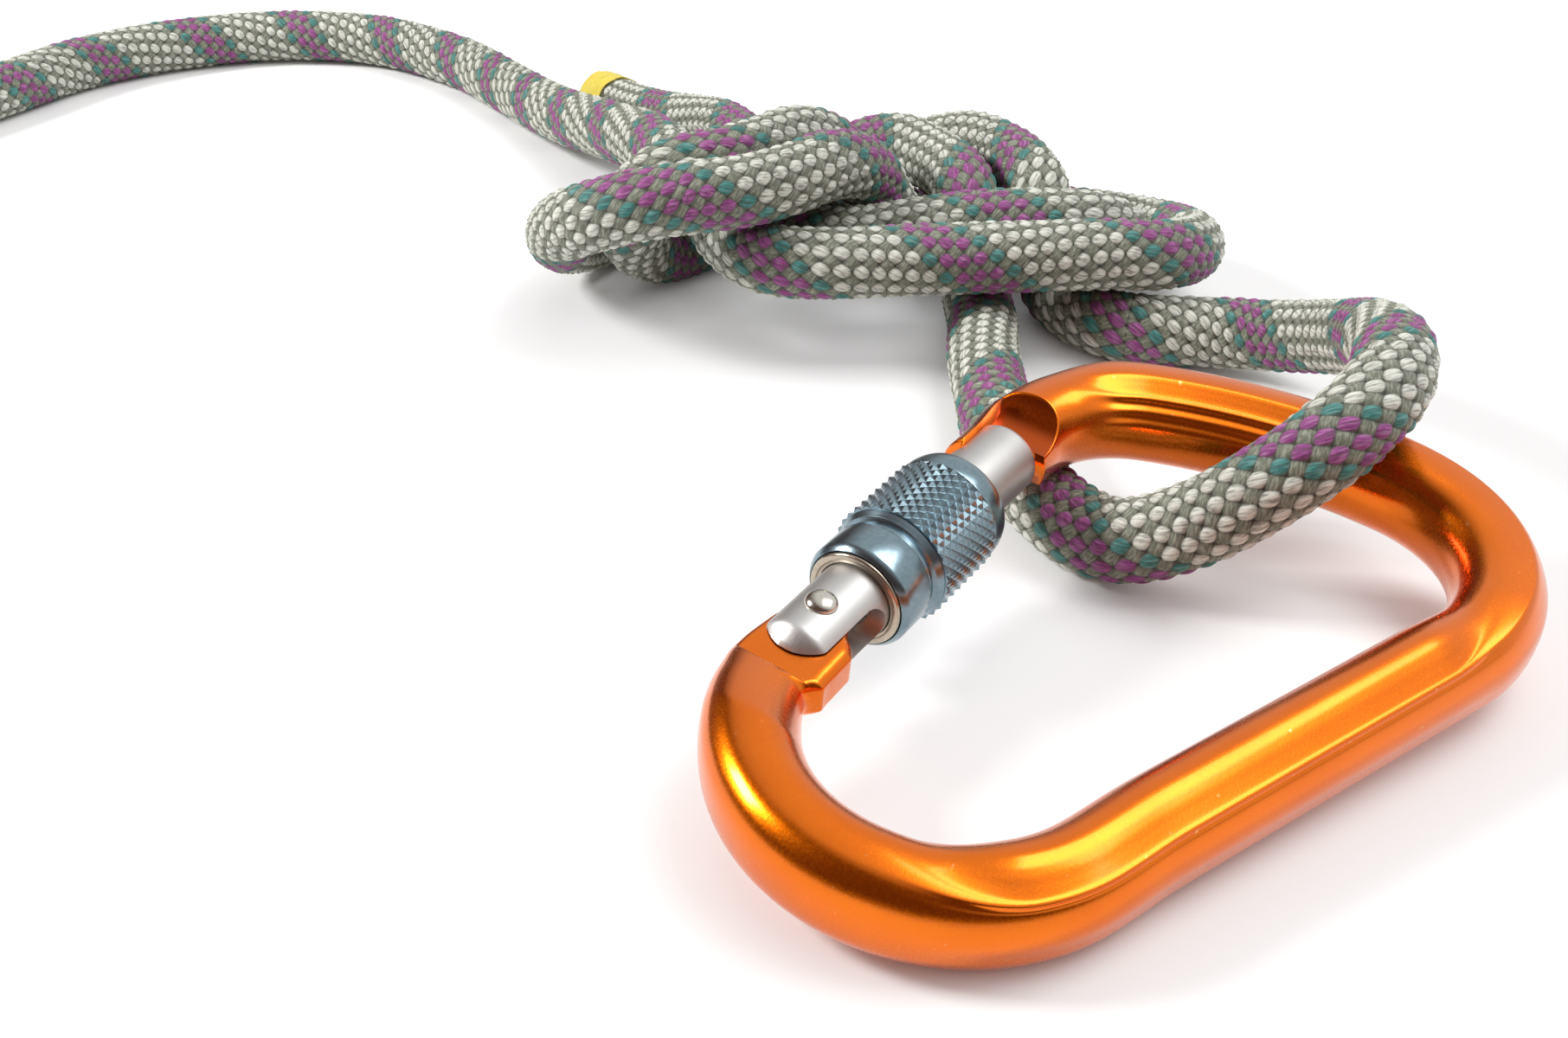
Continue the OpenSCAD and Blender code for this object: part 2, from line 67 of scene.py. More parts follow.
# Pale table top under a soft window light from high on the right, a smaller lamp on the left,
# and a room that is bright on one side. The floor is lifted towards white for the camera, and
# less so close under the object, where the shadows stay deep.
class Flow:
    """A shader value. Sums on it add Math nodes, and make() adds any other node."""

    def __init__(self, tree, socket=None):
        self.tree = tree
        self.socket = socket

    def make(self, kind, settings=None, sockets=None, out=0):
        """Adds a node, sets its settings, then its sockets, and returns one output."""
        node = self.tree.nodes.new("ShaderNode" + kind)
        for name, value in (settings or {}).items():
            if name == "stops":
                ramp = node.color_ramp
                ramp.elements.remove(ramp.elements[1])
                ramp.elements[0].position = value[0][0]
                ramp.elements[0].color = (*value[0][1], 1.0)
                for place, colour in value[1:]:
                    ramp.elements.new(place).color = (*colour, 1.0)
            elif name == "ramp":
                node.color_ramp.interpolation = value
            else:
                setattr(node, name, value)
        for key, value in (sockets or {}).items():
            if isinstance(value, Flow):
                self.tree.links.new(value.socket, node.inputs[key])
            elif hasattr(value, "__len__") and node.inputs[key].type == "RGBA":
                node.inputs[key].default_value = (*value[:3], 1.0)
            else:
                node.inputs[key].default_value = value
        return Flow(self.tree, node.outputs[out] if node.outputs else None)

    def math(self, operation, *values):
        return self.make("Math", {"operation": operation}, dict(enumerate(values)))

    def noise(self, place, scale, detail):
        """A cloudy value from 0 to 1."""
        return self.make("TexNoise", None, {"Vector": place, "Scale": scale, "Detail": detail})

    def mix(self, factor, first, second):
        """Blends two colours."""
        return self.make("Mix", {"data_type": "RGBA"}, {0: factor, 6: first, 7: second}, out=2)

    def __add__(self, other):
        return self.math("ADD", self, other)

    __radd__ = __add__

    def __mul__(self, other):
        return self.math("MULTIPLY", self, other)

    __rmul__ = __mul__

    def __sub__(self, other):
        return self.math("SUBTRACT", self, other)

    def __rsub__(self, other):
        return self.math("SUBTRACT", other, self)

    def __truediv__(self, other):
        return self.math("DIVIDE", self, other)

    def __mod__(self, other):
        return self.math("FLOORED_MODULO", self, other)

    def __pow__(self, other):
        return self.math("POWER", self, other)

    def __lt__(self, other):
        return self.math("LESS_THAN", self, other)

    def __abs__(self):
        return self.math("ABSOLUTE", self)

    def floor(self):
        return self.math("FLOOR", self)

    def sine(self):
        return self.math("SINE", self)

    def clip(self):
        return self.make("Clamp", None, {0: self})


def linear(*rgb):
    """An sRGB colour from 0 to 255 as the linear value that shaders take."""
    share = np.array(rgb) / 255.0
    return tuple(np.where(share <= 0.04045, share / 12.92, ((share + 0.055) / 1.055) ** 2.4))


def new_material(name):
    """An empty material, and the Flow that builds in it."""
    material = bpy.data.materials.new(name)
    material.use_nodes = True
    material.node_tree.nodes.clear()
    return material, Flow(material.node_tree)


def close_material(flow, shader):
    flow.make("OutputMaterial", None, {"Surface": shader})


# The room is bright ahead of the camera and to its right, and dark behind it and on its left
ROOM_LIT = (0.65, -0.31, 0.69)
ROOM_EDGE, ROOM_FADE = 0.33, 0.34
ROOM_DARK = (0.125, 0.072, 0.062)
ROOM_BRIGHT = (0.86, 0.86, 0.86)
room = bpy.data.worlds.new("Room")
room.use_nodes = True
room.node_tree.nodes.clear()
air = Flow(room.node_tree)
toward = air.make("TexCoord", out="Generated")
lit = air.make("VectorMath", {"operation": "DOT_PRODUCT"}, {0: toward, 1: ROOM_LIT}, out=1)
bright = ((lit - ROOM_EDGE) / ROOM_FADE).clip()
wall = air.mix(bright, ROOM_DARK, ROOM_BRIGHT)
dim = air.make("Background", None, {"Color": wall, "Strength": 1.0})
air.make("OutputWorld", None, {"Surface": dim})
scene.world = room

FLOOR_HALF = 3.0
FLOOR_LIFT = 0.45
CONTACT_REACH = 0.012
corners = FLOOR_HALF * np.array([(-1, -1, 0), (1, -1, 0), (1, 1, 0), (-1, 1, 0)])
table_mesh = bpy.data.meshes.new("Table")
table_mesh.from_pydata(corners.tolist(), [], [(0, 1, 2, 3)])
table = bpy.data.objects.new("Table", table_mesh)
scene.collection.objects.link(table)
paper, flow = new_material("table_white")
seen = flow.make("LightPath", out="Is Camera Ray")
glossy = flow.make("LightPath", out="Is Glossy Ray")
through = flow.make("LightPath", out="Is Transmission Ray")
matte = flow.make("BsdfDiffuse", None, {"Color": (0.9, 0.9, 0.9)})
white = flow.make("Emission", None, {"Color": (1.0, 1.0, 1.0), "Strength": 1.0})
clear = flow.make("AmbientOcclusion", {"samples": 8}, {"Distance": CONTACT_REACH}, out="AO")
lift = (seen + glossy + through).clip() * clear * FLOOR_LIFT
close_material(flow, flow.make("MixShader", None, {0: lift, 1: matte, 2: white}))
table_mesh.materials.append(paper)


def soft_lamp(name, place, target, width, power):
    """A square lamp at a place, turned to face a target."""
    light = bpy.data.lights.new(name, "AREA")
    light.energy = power
    light.size = width
    lamp = bpy.data.objects.new(name, light)
    lamp.location = place
    toward = Vector(target) - Vector(place)
    lamp.rotation_euler = toward.to_track_quat("-Z", "Y").to_euler()
    scene.collection.objects.link(lamp)


LAMP_TARGET = (0.0, 0.04, 0.0)
soft_lamp("Window", (0.24, -0.26, 0.66), LAMP_TARGET, width=0.46, power=3.2)
soft_lamp("Lamp", (-0.32, 0.62, 0.48), LAMP_TARGET, width=0.21, power=6.6)


# Rope: a core inside a braided sheath, of 12 yarns laid each way, one over and one under.
# It runs from the strapped coil to the knot, through the carabiner and back to its tail.
# The rope's radii, pitch and small distances are in metres.
ROPE_R = 0.0055
YARN_LOW = 0.00508
YARN_HIGH = 0.0056
YARNS = 12
BRAID_PITCH = 0.0305
BEAD_ROUND, BEAD_LONG, BEAD_POINT = 0.86, 1.0, 1.5
FLAT_HIGH = 0.6
FLOOR_GAP = 0.0001
HEADING_REACH = 0.0012
SHIFT = np.array([0.1, 0.6, 0.0])
KNOT_AT = np.array([36.0, 115.0, 0.0])
KNOT_TURN = np.radians(-48.65)
RUN_POINTS = np.array([
    (0, 283, 6.8), (12, 283, 6.7), (34, 284.3, 6), (58, 286.5, 5.6), (82, 288, 5.5),
    (103, 281.5, 5.5), (120, 268, 5.5), (130, 247, 5.5), (128.5, 222, 5.5), (122, 203, 5.6)])
LEAD_POINTS = np.array([
    (-2, 107, 6.2), (3.5, 93, 8), (8.5, 80, 10.5), (13.5, 65.5, 13.5), (18.5, 49.5, 16.8),
    (22.5, 34, 17.3), (26, 20, 16.2), (28.5, 7, 15.8), (33, -2.5, 16.2), (41, -7, 17),
    (51, -8, 17.3), (61, -8.5, 17.4), (72, -9, 17.4), (83, -9, 17.2), (93, -7.5, 16),
    (100.5, 0, 13.5), (103.5, 11, 10.5), (101, 23.5, 7.5), (93, 33, 5.8), (82, 37.4, 5.5),
    (71, 38, 5.5), (63, 36.8, 5.8), (56.3, 33, 9.5), (51, 29, 16.5), (46.8, 25, 23.3),
    (40, 18.8, 27.6), (32, 12, 27.8), (25, 9, 27.6), (19, 9, 26.2), (14.5, 11.5, 22),
    (12.8, 15.5, 16), (14, 20.5, 10.5), (18, 26, 6.6), (24, 31.5, 5.5), (31.5, 37.5, 5.5),
    (39.5, 44, 6), (48, 48, 10), (55.5, 47.5, 15), (61.5, 43, 17.3), (65.5, 34.5, 17.5),
    (68, 26.5, 17.4), (68.6, 20, 15.8), (68.4, 14.5, 11.2), (68, 9, 7), (67.2, 2.5, 5.5),
    (66, -8, 5.5), (64, -18, 5.5)])
LOOP_POINTS = np.array([
    (55, 48.5, 5.5), (44, 40.5, 5.5), (35, 32, 5.5), (28, 22, 5.5), (26, 13, 6.5),
    (28, 4.5, 11), (31.5, -3, 17.5), (37.5, -8, 22.5), (47, -10, 25.4), (58, -7.5, 24.8),
    (69, -3, 21.5), (79, 2.5, 17), (87, 10, 12), (91.5, 19, 8), (91.5, 28.5, 6)])
TAIL_POINTS = np.array([
    (88, -11, 5.5), (83, -5, 5.5), (80.8, 2.5, 5.5), (80.5, 9, 7), (80.5, 14.4, 11.5),
    (80.7, 20, 16), (80, 26.5, 17.6), (78.3, 34.8, 17.7), (74, 44.5, 16.8), (67, 52.8, 12.8),
    (57.5, 57.5, 8.6), (45.5, 59.3, 6.2), (33, 55.5, 5.6), (21.5, 47.5, 5.5), (11, 39, 5.5),
    (4, 29.5, 7.6), (1.4, 19, 12.6), (2.4, 9, 18.4), (6.7, 0.5, 23.2), (13.5, -3.5, 26.2),
    (21.5, -4, 27.3), (29.5, -3, 27.6), (37, 0.5, 27.9), (44.5, 6.8, 27.6), (50.2, 12.9, 23.8),
    (54.2, 17.4, 16.5), (58.6, 21.5, 9.5), (64.8, 24.8, 5.8), (72, 25.9, 5.5),
    (80.5, 25.8, 5.5), (88.2, 22, 6.9), (92, 15, 10), (90.5, 7.8, 13.7), (84.6, 3.4, 17),
    (76, 3.2, 17.9), (66, 3.6, 17.8), (57, 3.6, 17), (48.5, 4.8, 15.6), (42, 10.5, 15),
    (38.5, 19, 15.2), (36.8, 29, 15.9), (34.9, 41.5, 17), (31.9, 54.5, 16.9),
    (27.3, 67, 14.2), (22.2, 79, 11.2), (16.9, 91.5, 8.9), (11.4, 104, 7.6)])
COIL_R = 70.0
COIL_PITCH = 11.6
COIL_Z = 6.8
COIL_LAYER = 720.0
COIL_TURN = 1620.0
COIL_STEPS = 1400
SPAN_STEPS = 16


def from_knot(points):
    """Turns points from the knot's own axes into the object's."""
    along = np.array([np.cos(KNOT_TURN), np.sin(KNOT_TURN), 0.0])
    back = np.array([-np.sin(KNOT_TURN), np.cos(KNOT_TURN), 0.0])
    up = np.array([0.0, 0.0, 1.0])
    return KNOT_AT + points @ np.array([along, back, up])


def smooth_line(points, steps):
    """Each span between two points is the cubic through them with its neighbours' slopes."""
    ends = [2 * points[:1] - points[1:2], points, 2 * points[-1:] - points[-2:-1]]
    p = np.vstack(ends)
    a, b, c, d = (p[k:len(p) - 3 + k, None, :] for k in range(4))
    t = (np.arange(steps) / steps)[None, :, None]
    bent = (2 * a - 5 * b + 4 * c - d) * t ** 2 + (3 * b - a - 3 * c + d) * t ** 3
    line = 0.5 * (2 * b + (c - a) * t + bent)
    return np.vstack([line.reshape(-1, 3), points[-1:]])


def coil_line(count):
    """A spiral that winds in on the floor, climbs one layer, and winds out on top."""
    t = np.linspace(0.0, COIL_TURN, count)
    radius = COIL_R - COIL_PITCH * np.minimum(t, COIL_TURN - t) / 360.0
    climb = 0.5 - 0.5 * np.cos(np.radians(np.clip(t - COIL_LAYER, 0.0, 180.0)))
    angle = np.radians(-90.0 - t)
    middle = np.array([0.0, RUN_POINTS[0, 1] + COIL_R])
    flat = middle + radius[:, None] * np.stack([np.cos(angle), np.sin(angle)], 1)
    wound = np.column_stack([flat, COIL_Z + COIL_PITCH * climb])
    way = wound[-1] - wound[-2]
    tip = wound[-1] + 2 * ROPE_R / MM * way / np.linalg.norm(way)
    return np.vstack([wound, tip])


knot_lead = from_knot(LEAD_POINTS)
knot_tail = from_knot(TAIL_POINTS)
tied = smooth_line(np.vstack([RUN_POINTS, knot_lead, LOOP_POINTS, knot_tail]), SPAN_STEPS)
rope_line = np.vstack([coil_line(COIL_STEPS)[:0:-1], tied])
rope_line = (rope_line + SHIFT) * MM
rope_line[:, 2] = np.maximum(rope_line[:, 2], ROPE_R + FLOOR_GAP)
rope_at = np.concatenate([[0.0], np.cumsum(np.linalg.norm(np.diff(rope_line, axis=0), axis=1))])
coil_count = len(rope_line) - len(tied)
span_ends = np.cumsum([len(RUN_POINTS), len(LEAD_POINTS), len(LOOP_POINTS)]) * SPAN_STEPS
cuts = rope_at[np.concatenate([[0, coil_count], coil_count + span_ends, [len(rope_line) - 1]])]


def along_rope(v):
    """Middle of the rope, its heading, and its upward and sideways directions at lengths v."""
    place, ahead, behind = (
        np.stack([np.interp(v + shift, rope_at, rope_line[:, k]) for k in range(3)], -1)
        for shift in (0.0, HEADING_REACH, -HEADING_REACH))
    head = ahead - behind
    head /= np.linalg.norm(head, axis=-1, keepdims=True)
    side = np.cross([0.0, 0.0, 1.0], head)
    side /= np.linalg.norm(side, axis=-1, keepdims=True)
    return place, head, np.cross(head, side), side


# The sheath turns along the rope so that its bands fall about where the photo has them. Each pick is
# the middle of a purple band, in the photo's pixels and in order along the rope.
PHOTO_WIDTH, PHOTO_HEIGHT = 1812, 1200
BAND_PICKS = (
    (16, 102), (108, 65), (241, 45), (363, 39), (465, 53), (539, 68), (588, 90), (627, 115),
    (670, 130), (719, 147), (897, 298), (1102, 291), (1348, 287), (844, 158), (1034, 143),
    (1136, 374), (1125, 465), (1257, 613), (1541, 525), (1602, 374), (1473, 374), (1299, 374),
    (1189, 196), (636, 275), (795, 222), (1015, 211), (1178, 230), (784, 124))
# From one pick to the next the sheath turns the shorter way round, but for whole turns added from
# these picks on. Two picks have their turns given in degrees.
WHOLE_TURNS = {(897, 298): -1, (1189, 196): -1, (795, 222): 1}
TURNS_BY_EYE = {(1125, 465): -1100, (1602, 374): -1110}
BAND_MIDDLE = 2.5 / YARNS
PICK_REACH, PICK_WEIGHT, STRAND_GAP = 28.0, 0.0003, 3


def in_photo(points):
    """Places of points in the photo's pixels, and their depths from the camera."""
    c, s = np.cos(CAMERA_TURN), np.sin(CAMERA_TURN)
    tilt = np.array([(1, 0, 0), (0, c[0], -s[0]), (0, s[0], c[0])])
    swing = np.array([(c[2], -s[2], 0), (s[2], c[2], 0), (0, 0, 1)])
    right, up, back = ((points - CAMERA_AT) @ (swing @ tilt)).T
    scale = LENS / SENSOR * PHOTO_WIDTH / -back
    return np.stack([PHOTO_WIDTH / 2 + scale * right, PHOTO_HEIGHT / 2 - scale * up], 1), -back


def band_turn(x, y):
    """Length along the strand that stands nearest the camera at a pick, and the sheath's turn
    in degrees, give or take whole turns, that makes a band's middle face the camera there."""
    off = np.linalg.norm(rope_pixels - (x, y), axis=1)
    near = np.flatnonzero(off < PICK_REACH)
    strands = np.split(near, np.flatnonzero(np.diff(near) > STRAND_GAP) + 1)
    strand = min(strands, key=lambda k: rope_depth[k].min() + off[k].min() * PICK_WEIGHT)
    v = rope_at[strand[off[strand].argmin()]]
    place, head, up, side = along_rope(v)
    to_camera = CAMERA_AT - place
    facing = np.arctan2(to_camera @ side, to_camera @ up)
    return v, np.degrees(facing) - 360 * (BAND_MIDDLE - v / BRAID_PITCH)


# Rounded to a tenth of a millimetre and to a degree
rope_pixels, rope_depth = in_photo(rope_line)
twist_at, twist = np.array([band_turn(*pick) for pick in BAND_PICKS]).T
twist = np.unwrap(twist, period=360)
twist += twist[0] % 360 - twist[0]
twist += 360 * np.cumsum([WHOLE_TURNS.get(pick, 0) for pick in BAND_PICKS])
twist = [TURNS_BY_EYE.get(pick, turn) for pick, turn in zip(BAND_PICKS, twist)]
twist_at = np.round(twist_at, 4)
twist = np.radians(np.round(twist))


def put_mesh(name, points, faces, uvs=None):
    """A mesh piece from arrays: points, lists of face corners, and each corner's map place."""
    mesh = bpy.data.meshes.new(name)
    sizes = np.concatenate([np.full(len(f), f.shape[1]) for f in faces])
    corner = np.concatenate([f.ravel() for f in faces])
    mesh.vertices.add(len(points))
    mesh.vertices.foreach_set("co", np.ascontiguousarray(points, np.float32).ravel())
    mesh.loops.add(len(corner))
    mesh.loops.foreach_set("vertex_index", corner.astype(np.int32))
    mesh.polygons.add(len(sizes))
    starts = np.concatenate([[0], np.cumsum(sizes)[:-1]])
    mesh.polygons.foreach_set("loop_start", starts.astype(np.int32))
    if uvs is not None:
        flat = np.concatenate([m.reshape(-1, 2) for m in uvs]).astype(np.float32)
        mesh.uv_layers.new(name="Map").uv.foreach_set("vector", flat.ravel())
    mesh.update(calc_edges=True)
    mesh.validate()
    mesh.shade_smooth()
    piece = bpy.data.objects.new(name, mesh)
    scene.collection.objects.link(piece)
    return piece


def braid_tube(name, start, end, fine):
    """A tube on the yarns' own diamond grid. Row s and column q stand at length
    pitch * s / 24 fine and turn q / 24 fine, so a = (q - s) / 2 fine counts the yarns laid
    one way and b = (q + s) / 2 fine the others. Floats of the others stand out as oval beads,
    and floats of the first lie lower and flatter between them."""
    per_length = 2 * YARNS * fine / BRAID_PITCH
    first = 2 * fine * round(start * per_length / (2 * fine))
    last = 2 * fine * round(end * per_length / (2 * fine))
    s = np.arange(first, last + 1)[:, None]
    around = YARNS * fine
    k = np.arange(around)[None, :]
    q = 2 * k + s % 2
    a, b = (q - s) // 2, (q + s) // 2
    i, j = a // fine, b // fine
    over = (i + j) % 2 < 1
    x, y = 2 * (a % fine) / fine - 1, 2 * (b % fine) / fine - 1
    flat = FLAT_HIGH * (1 - x ** 4) * (1 - y ** 4)
    beside = np.abs(x) > np.abs(y)
    x = np.where(over & beside, x - 2 * np.sign(x), x)
    y = np.where(over & ~beside, y - 2 * np.sign(y), y)
    reach = (np.abs((x + y) / (2 * BEAD_ROUND)) ** BEAD_POINT
             + np.abs((x - y) / (2 * BEAD_LONG)) ** BEAD_POINT)
    dome = np.maximum(flat, np.sqrt(np.maximum(1 - reach, 0.0)))
    v = s[:, 0] / per_length
    place, head, up, side = along_rope(v)
    turn = 2 * np.pi * q / (2 * around) + np.interp(v, twist_at, twist)[:, None]
    radius = YARN_LOW + (YARN_HIGH - YARN_LOW) * dome
    out = np.cos(turn)[..., None] * up[:, None] + np.sin(turn)[..., None] * side[:, None]
    points = place[:, None] + radius[..., None] * out
    rows = len(s)
    number = np.arange(rows * around).reshape(rows, around)
    odd = s % 2
    right = (k + odd) % around
    left = (k + odd - 1) % around
    row = np.arange(rows)[:, None]
    low = row[:-2]
    quads = np.stack([number[:-2], number[low + 1, left[:-2]], number[2:],
                      number[low + 1, right[:-2]]], -1).reshape(-1, 4)
    nearer = np.stack([number[0], number[1, right[0]], np.roll(number[0], -1)], -1)
    further = np.stack([number[-1], np.roll(number[-1], -1), number[-2, right[-1]]], -1)
    caps = np.stack([number[0], number[-1, ::-1]])
    step = np.array([(0, 0), (-1, 1), (0, 2), (1, 1)])
    grid = np.stack([q[:-2], np.broadcast_to(s[:-2], q[:-2].shape)], -1)
    scale = np.array([1 / (2 * around), 1 / per_length])
    wall_map = (grid[:, :, None] + step) * scale
    nearer_map = (np.stack([q[0], np.full(around, first)], -1)[:, None]
                  + np.array([(0, 0), (1, 1), (2, 0)])) * scale
    further_map = (np.stack([q[-1], np.full(around, last)], -1)[:, None]
                   + np.array([(0, 0), (2, 0), (1, -1)])) * scale
    cap_map = np.stack([np.stack([q[0], np.full(around, first)], -1),
                        np.stack([q[-1, ::-1], np.full(around, last)], -1)]) * scale
    piece = put_mesh(name, points.reshape(-1, 3), [quads, nearer, further, caps],
                     [wall_map, nearer_map, further_map, cap_map])
    return piece, place


WHITE_YARN = linear(208, 211, 199)
OLIVE_YARN = linear(103, 108, 92)
PURPLE_YARN = linear(142, 44, 130)
TEAL_YARN = linear(24, 120, 115)
# Fibre streaks on the beads, painted as pale highlights and dark shade
FIBRE_HIGHLIGHT, FIBRE_SHADE = linear(240, 240, 233), linear(88, 84, 76)
# Painted shade in the split between a bead's plies, and at the bead's rim
BEAD_SPLIT_SHADE, BEAD_RIM_SHADE = linear(84, 82, 70), linear(74, 74, 62)
# Pale fibres on the flats, and painted shade towards their edges
PALE_FLAT, FLAT_RIM_SHADE = linear(172, 176, 160), linear(42, 42, 36)
# Painted shade in the pits where the yarns cross
PIT_SHADE = linear(28, 28, 24)
# Fibres lean across a bead and are thin. Each yarn has its own place in the noise
FIBRE_LEAN, FIBRE_THIN, FIBRE_SCALE, FIBRE_DETAIL = 0.4, 1.1, 3.4, 3.0
YARN_I_STEP, YARN_J_STEP = 2.3, 3.7
# The yarns, out of twelve, from which each colour runs
TEAL_FROM, PURPLE_FROM, TEAL_AGAIN, WHITE_FROM = 0, 1, 4, 5
sheath, flow = new_material("braided_sheath")
# The map holds the turn and the length, so the yarns laid each way are counted as in the mesh
map_place = flow.make("UVMap", {"uv_map": "Map"})
turn = flow.make("SeparateXYZ", None, {0: map_place}, out=0)
length = flow.make("SeparateXYZ", None, {0: map_place}, out=1) / BRAID_PITCH
one_way = (turn - length) * YARNS
other_way = (turn + length) * YARNS
i, j = one_way.floor(), other_way.floor()
over = (i + j) % 2.0 < 1.0
x = one_way % 1.0 * 2.0 - 1.0
y = other_way % 1.0 * 2.0 - 1.0
beside = abs(y) < abs(x)
x_side = 1.0 - (x < 0.0) * 2.0
y_side = 1.0 - (y < 0.0) * 2.0
flat = ((1.0 - abs(x) ** 4.0) * (1.0 - abs(y) ** 4.0)).clip()
bead_x = x - over * beside * x_side * 2.0
bead_y = y - over * (1.0 - beside) * y_side * 2.0
bead_j = j + over * (1.0 - beside) * y_side
bead_round = (bead_x + bead_y) / (2.0 * BEAD_ROUND)
bead_long = (bead_x - bead_y) / (2.0 * BEAD_LONG)
reach = abs(bead_round) ** BEAD_POINT + abs(bead_long) ** BEAD_POINT
pit = (abs(x) * abs(y)) ** 5.0
bead = ((1.0 - reach) * 4.0).clip()
stripe = flow.make("ValToRGB", {"ramp": "CONSTANT", "stops": [
    (TEAL_FROM / YARNS, TEAL_YARN), (PURPLE_FROM / YARNS, PURPLE_YARN),
    (TEAL_AGAIN / YARNS, TEAL_YARN), (WHITE_FROM / YARNS, WHITE_YARN)]},
    {0: (bead_j % YARNS + 0.5) / YARNS})
across = bead_round - bead_long * FIBRE_LEAN
bead_spot = flow.make("CombineXYZ", None, {
    0: across * FIBRE_THIN, 1: bead_long * 0.25 + bead_j * YARN_J_STEP, 2: i * YARN_I_STEP})
flat_spot = flow.make("CombineXYZ", None, {
    0: x * FIBRE_THIN, 1: y * 0.3 + j * YARN_J_STEP, 2: i * YARN_I_STEP})
bead_fibre = flow.noise(bead_spot, FIBRE_SCALE, FIBRE_DETAIL)
flat_fibre = flow.noise(flat_spot, FIBRE_SCALE, FIBRE_DETAIL)
split = abs((across * np.pi).sine())
# Beads take the stripe's colour, with fibre streaks painted as pale highlights and dark shade,
# painted shade in their splits and at their rims, and the flats between them are olive with
# pale fibres and painted shade towards their edges. Painted shade darkens the pits between yarns.
bead_tone = flow.mix((bead_fibre - 0.45).clip() * 0.7, stripe, FIBRE_HIGHLIGHT)
bead_tone = flow.mix(((0.52 - bead_fibre) * 5.0).clip() * 0.7, bead_tone, FIBRE_SHADE)
bead_tone = flow.mix((1.0 - split) ** 3.0 * 0.4, bead_tone, BEAD_SPLIT_SHADE)
bead_tone = flow.mix(reach.clip() ** 3.0 * 0.5, bead_tone, BEAD_RIM_SHADE)
flat_tone = flow.mix((flat_fibre - 0.42).clip() * 2.4, OLIVE_YARN, PALE_FLAT)
flat_tone = flow.mix((1.0 - flat) ** 1.2 * 0.7, flat_tone, FLAT_RIM_SHADE)
shade = flow.mix(pit * 0.8, flow.mix(bead, flat_tone, bead_tone), PIT_SHADE)
relief = flow.mix(bead, flat * 0.4 + flat_fibre * 0.7,
                  (1.0 - reach).clip() * 0.6 + split * 0.3 + bead_fibre * 0.9 + 0.1)
bump = flow.make("Bump", None, {"Strength": 0.6, "Distance": 0.0003, "Height": relief})
shader = flow.make("BsdfPrincipled", None, {
    "Base Color": shade, "Roughness": 0.66, "Normal": bump, "Sheen Weight": 0.1,
    "Sheen Roughness": 0.5, "Specular IOR Level": 0.3})
close_material(flow, shader)


def lay_rope(name, part, fine, exit_end, far_end, lay="loose"):
    """One named length of the rope between two cuts, with its route from the exit end, the kind of
    its far end, and how it lies.
    """
    piece, place = braid_tube(name, cuts[part], cuts[part + 1], fine)
    piece.data.materials.append(sheath)
    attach(piece, "frame")
    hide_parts(name.replace("braid", "rope"))
    route = place if exit_end == 0 else place[::-1]
    return piece, route, far_end, lay


rope_pieces = [
    lay_rope("braid_coil", part=0, fine=2, exit_end=1, far_end="bare", lay="coiled"),
    lay_rope("braid_lead", part=1, fine=5, exit_end=1, far_end="object"),
    lay_rope("braid_knot_lead", part=2, fine=4, exit_end=1, far_end="object"),
    lay_rope("braid_loop", part=3, fine=7, exit_end=0, far_end="knot"),
    lay_rope("braid_knot_tail", part=4, fine=4, exit_end=0, far_end="bare"),
]


# Tape on the two cut rope ends: thin yellow film wound once round and lapped, torn at its edge and
# pinched in over the cut.
TAPE_R, TAPE_UNDER_R, TAPE_LAP = 5.68, 5.3, 0.16
TAPE_BACK, TAPE_PAST = 8.0, 0.75
TAPE_SIDES, TAPE_ROWS, COVER_ROWS = 96, 22, 10


def grid_faces(rows, columns, closed=False):
    """Quads between neighbouring rows, all the way round, and from last to first if closed."""
    number = np.arange(rows * columns).reshape(rows, columns)
    near = number if closed else number[:-1]
    far = np.roll(number, -1, 0) if closed else number[1:]
    return np.stack([near, np.roll(near, -1, 1), np.roll(far, -1, 1), far], -1).reshape(-1, 4)


def capped_faces(rows, columns, first=0, flip=False):
    """Quads of a tube and its two caps, numbered from first, and turned over if flip."""
    number = first + np.arange(rows * columns).reshape(rows, columns)
    faces = [first + grid_faces(rows, columns), number[:1, ::-1], number[-1:]]
    return [face[:, ::-1] for face in faces] if flip else faces


def wrap_end(name, tip, way, up):
    """Rows go from the torn edge to the tip, then inwards over the cut. The radius grows by the
    lap of the film round the turn, with small creases, and the cover has folds round its middle."""
    turn = np.linspace(0, 2 * np.pi, TAPE_SIDES, endpoint=False)
    t = np.linspace(0, 1, TAPE_ROWS)[:, None]
    edge = -TAPE_BACK + 0.45 * np.sin(3 * turn + 1.0) + 0.3 * np.sin(7 * turn)
    wall_x = edge * (1 - t)
    crease = 0.05 * np.sin(5 * turn + 9 * t) + 0.035 * np.sin(11 * turn - 14 * t)
    wall_r = TAPE_R + TAPE_LAP * turn / (2 * np.pi) + crease
    close = np.linspace(0.15, 1.0, COVER_ROWS)[:, None] * 0.5 * np.pi
    fold = np.sin(9 * turn + 2 * np.sin(2 * turn)) * np.sin(2 * close)
    cover_x = TAPE_PAST * np.sin(close) * (1 + 0.2 * fold)
    cover_r = wall_r[-1] * np.cos(close * 0.985)
    x = np.vstack([edge * 0.9, wall_x, cover_x])
    r = np.vstack([np.full(TAPE_SIDES, TAPE_UNDER_R), wall_r, cover_r])
    side = np.cross(way, up)
    out = np.cos(turn)[:, None] * up + np.sin(turn)[:, None] * side
    points = tip + MM * (x[..., None] * way + r[..., None] * out)
    return put_mesh(name, points.reshape(-1, 3), capped_faces(*x.shape))


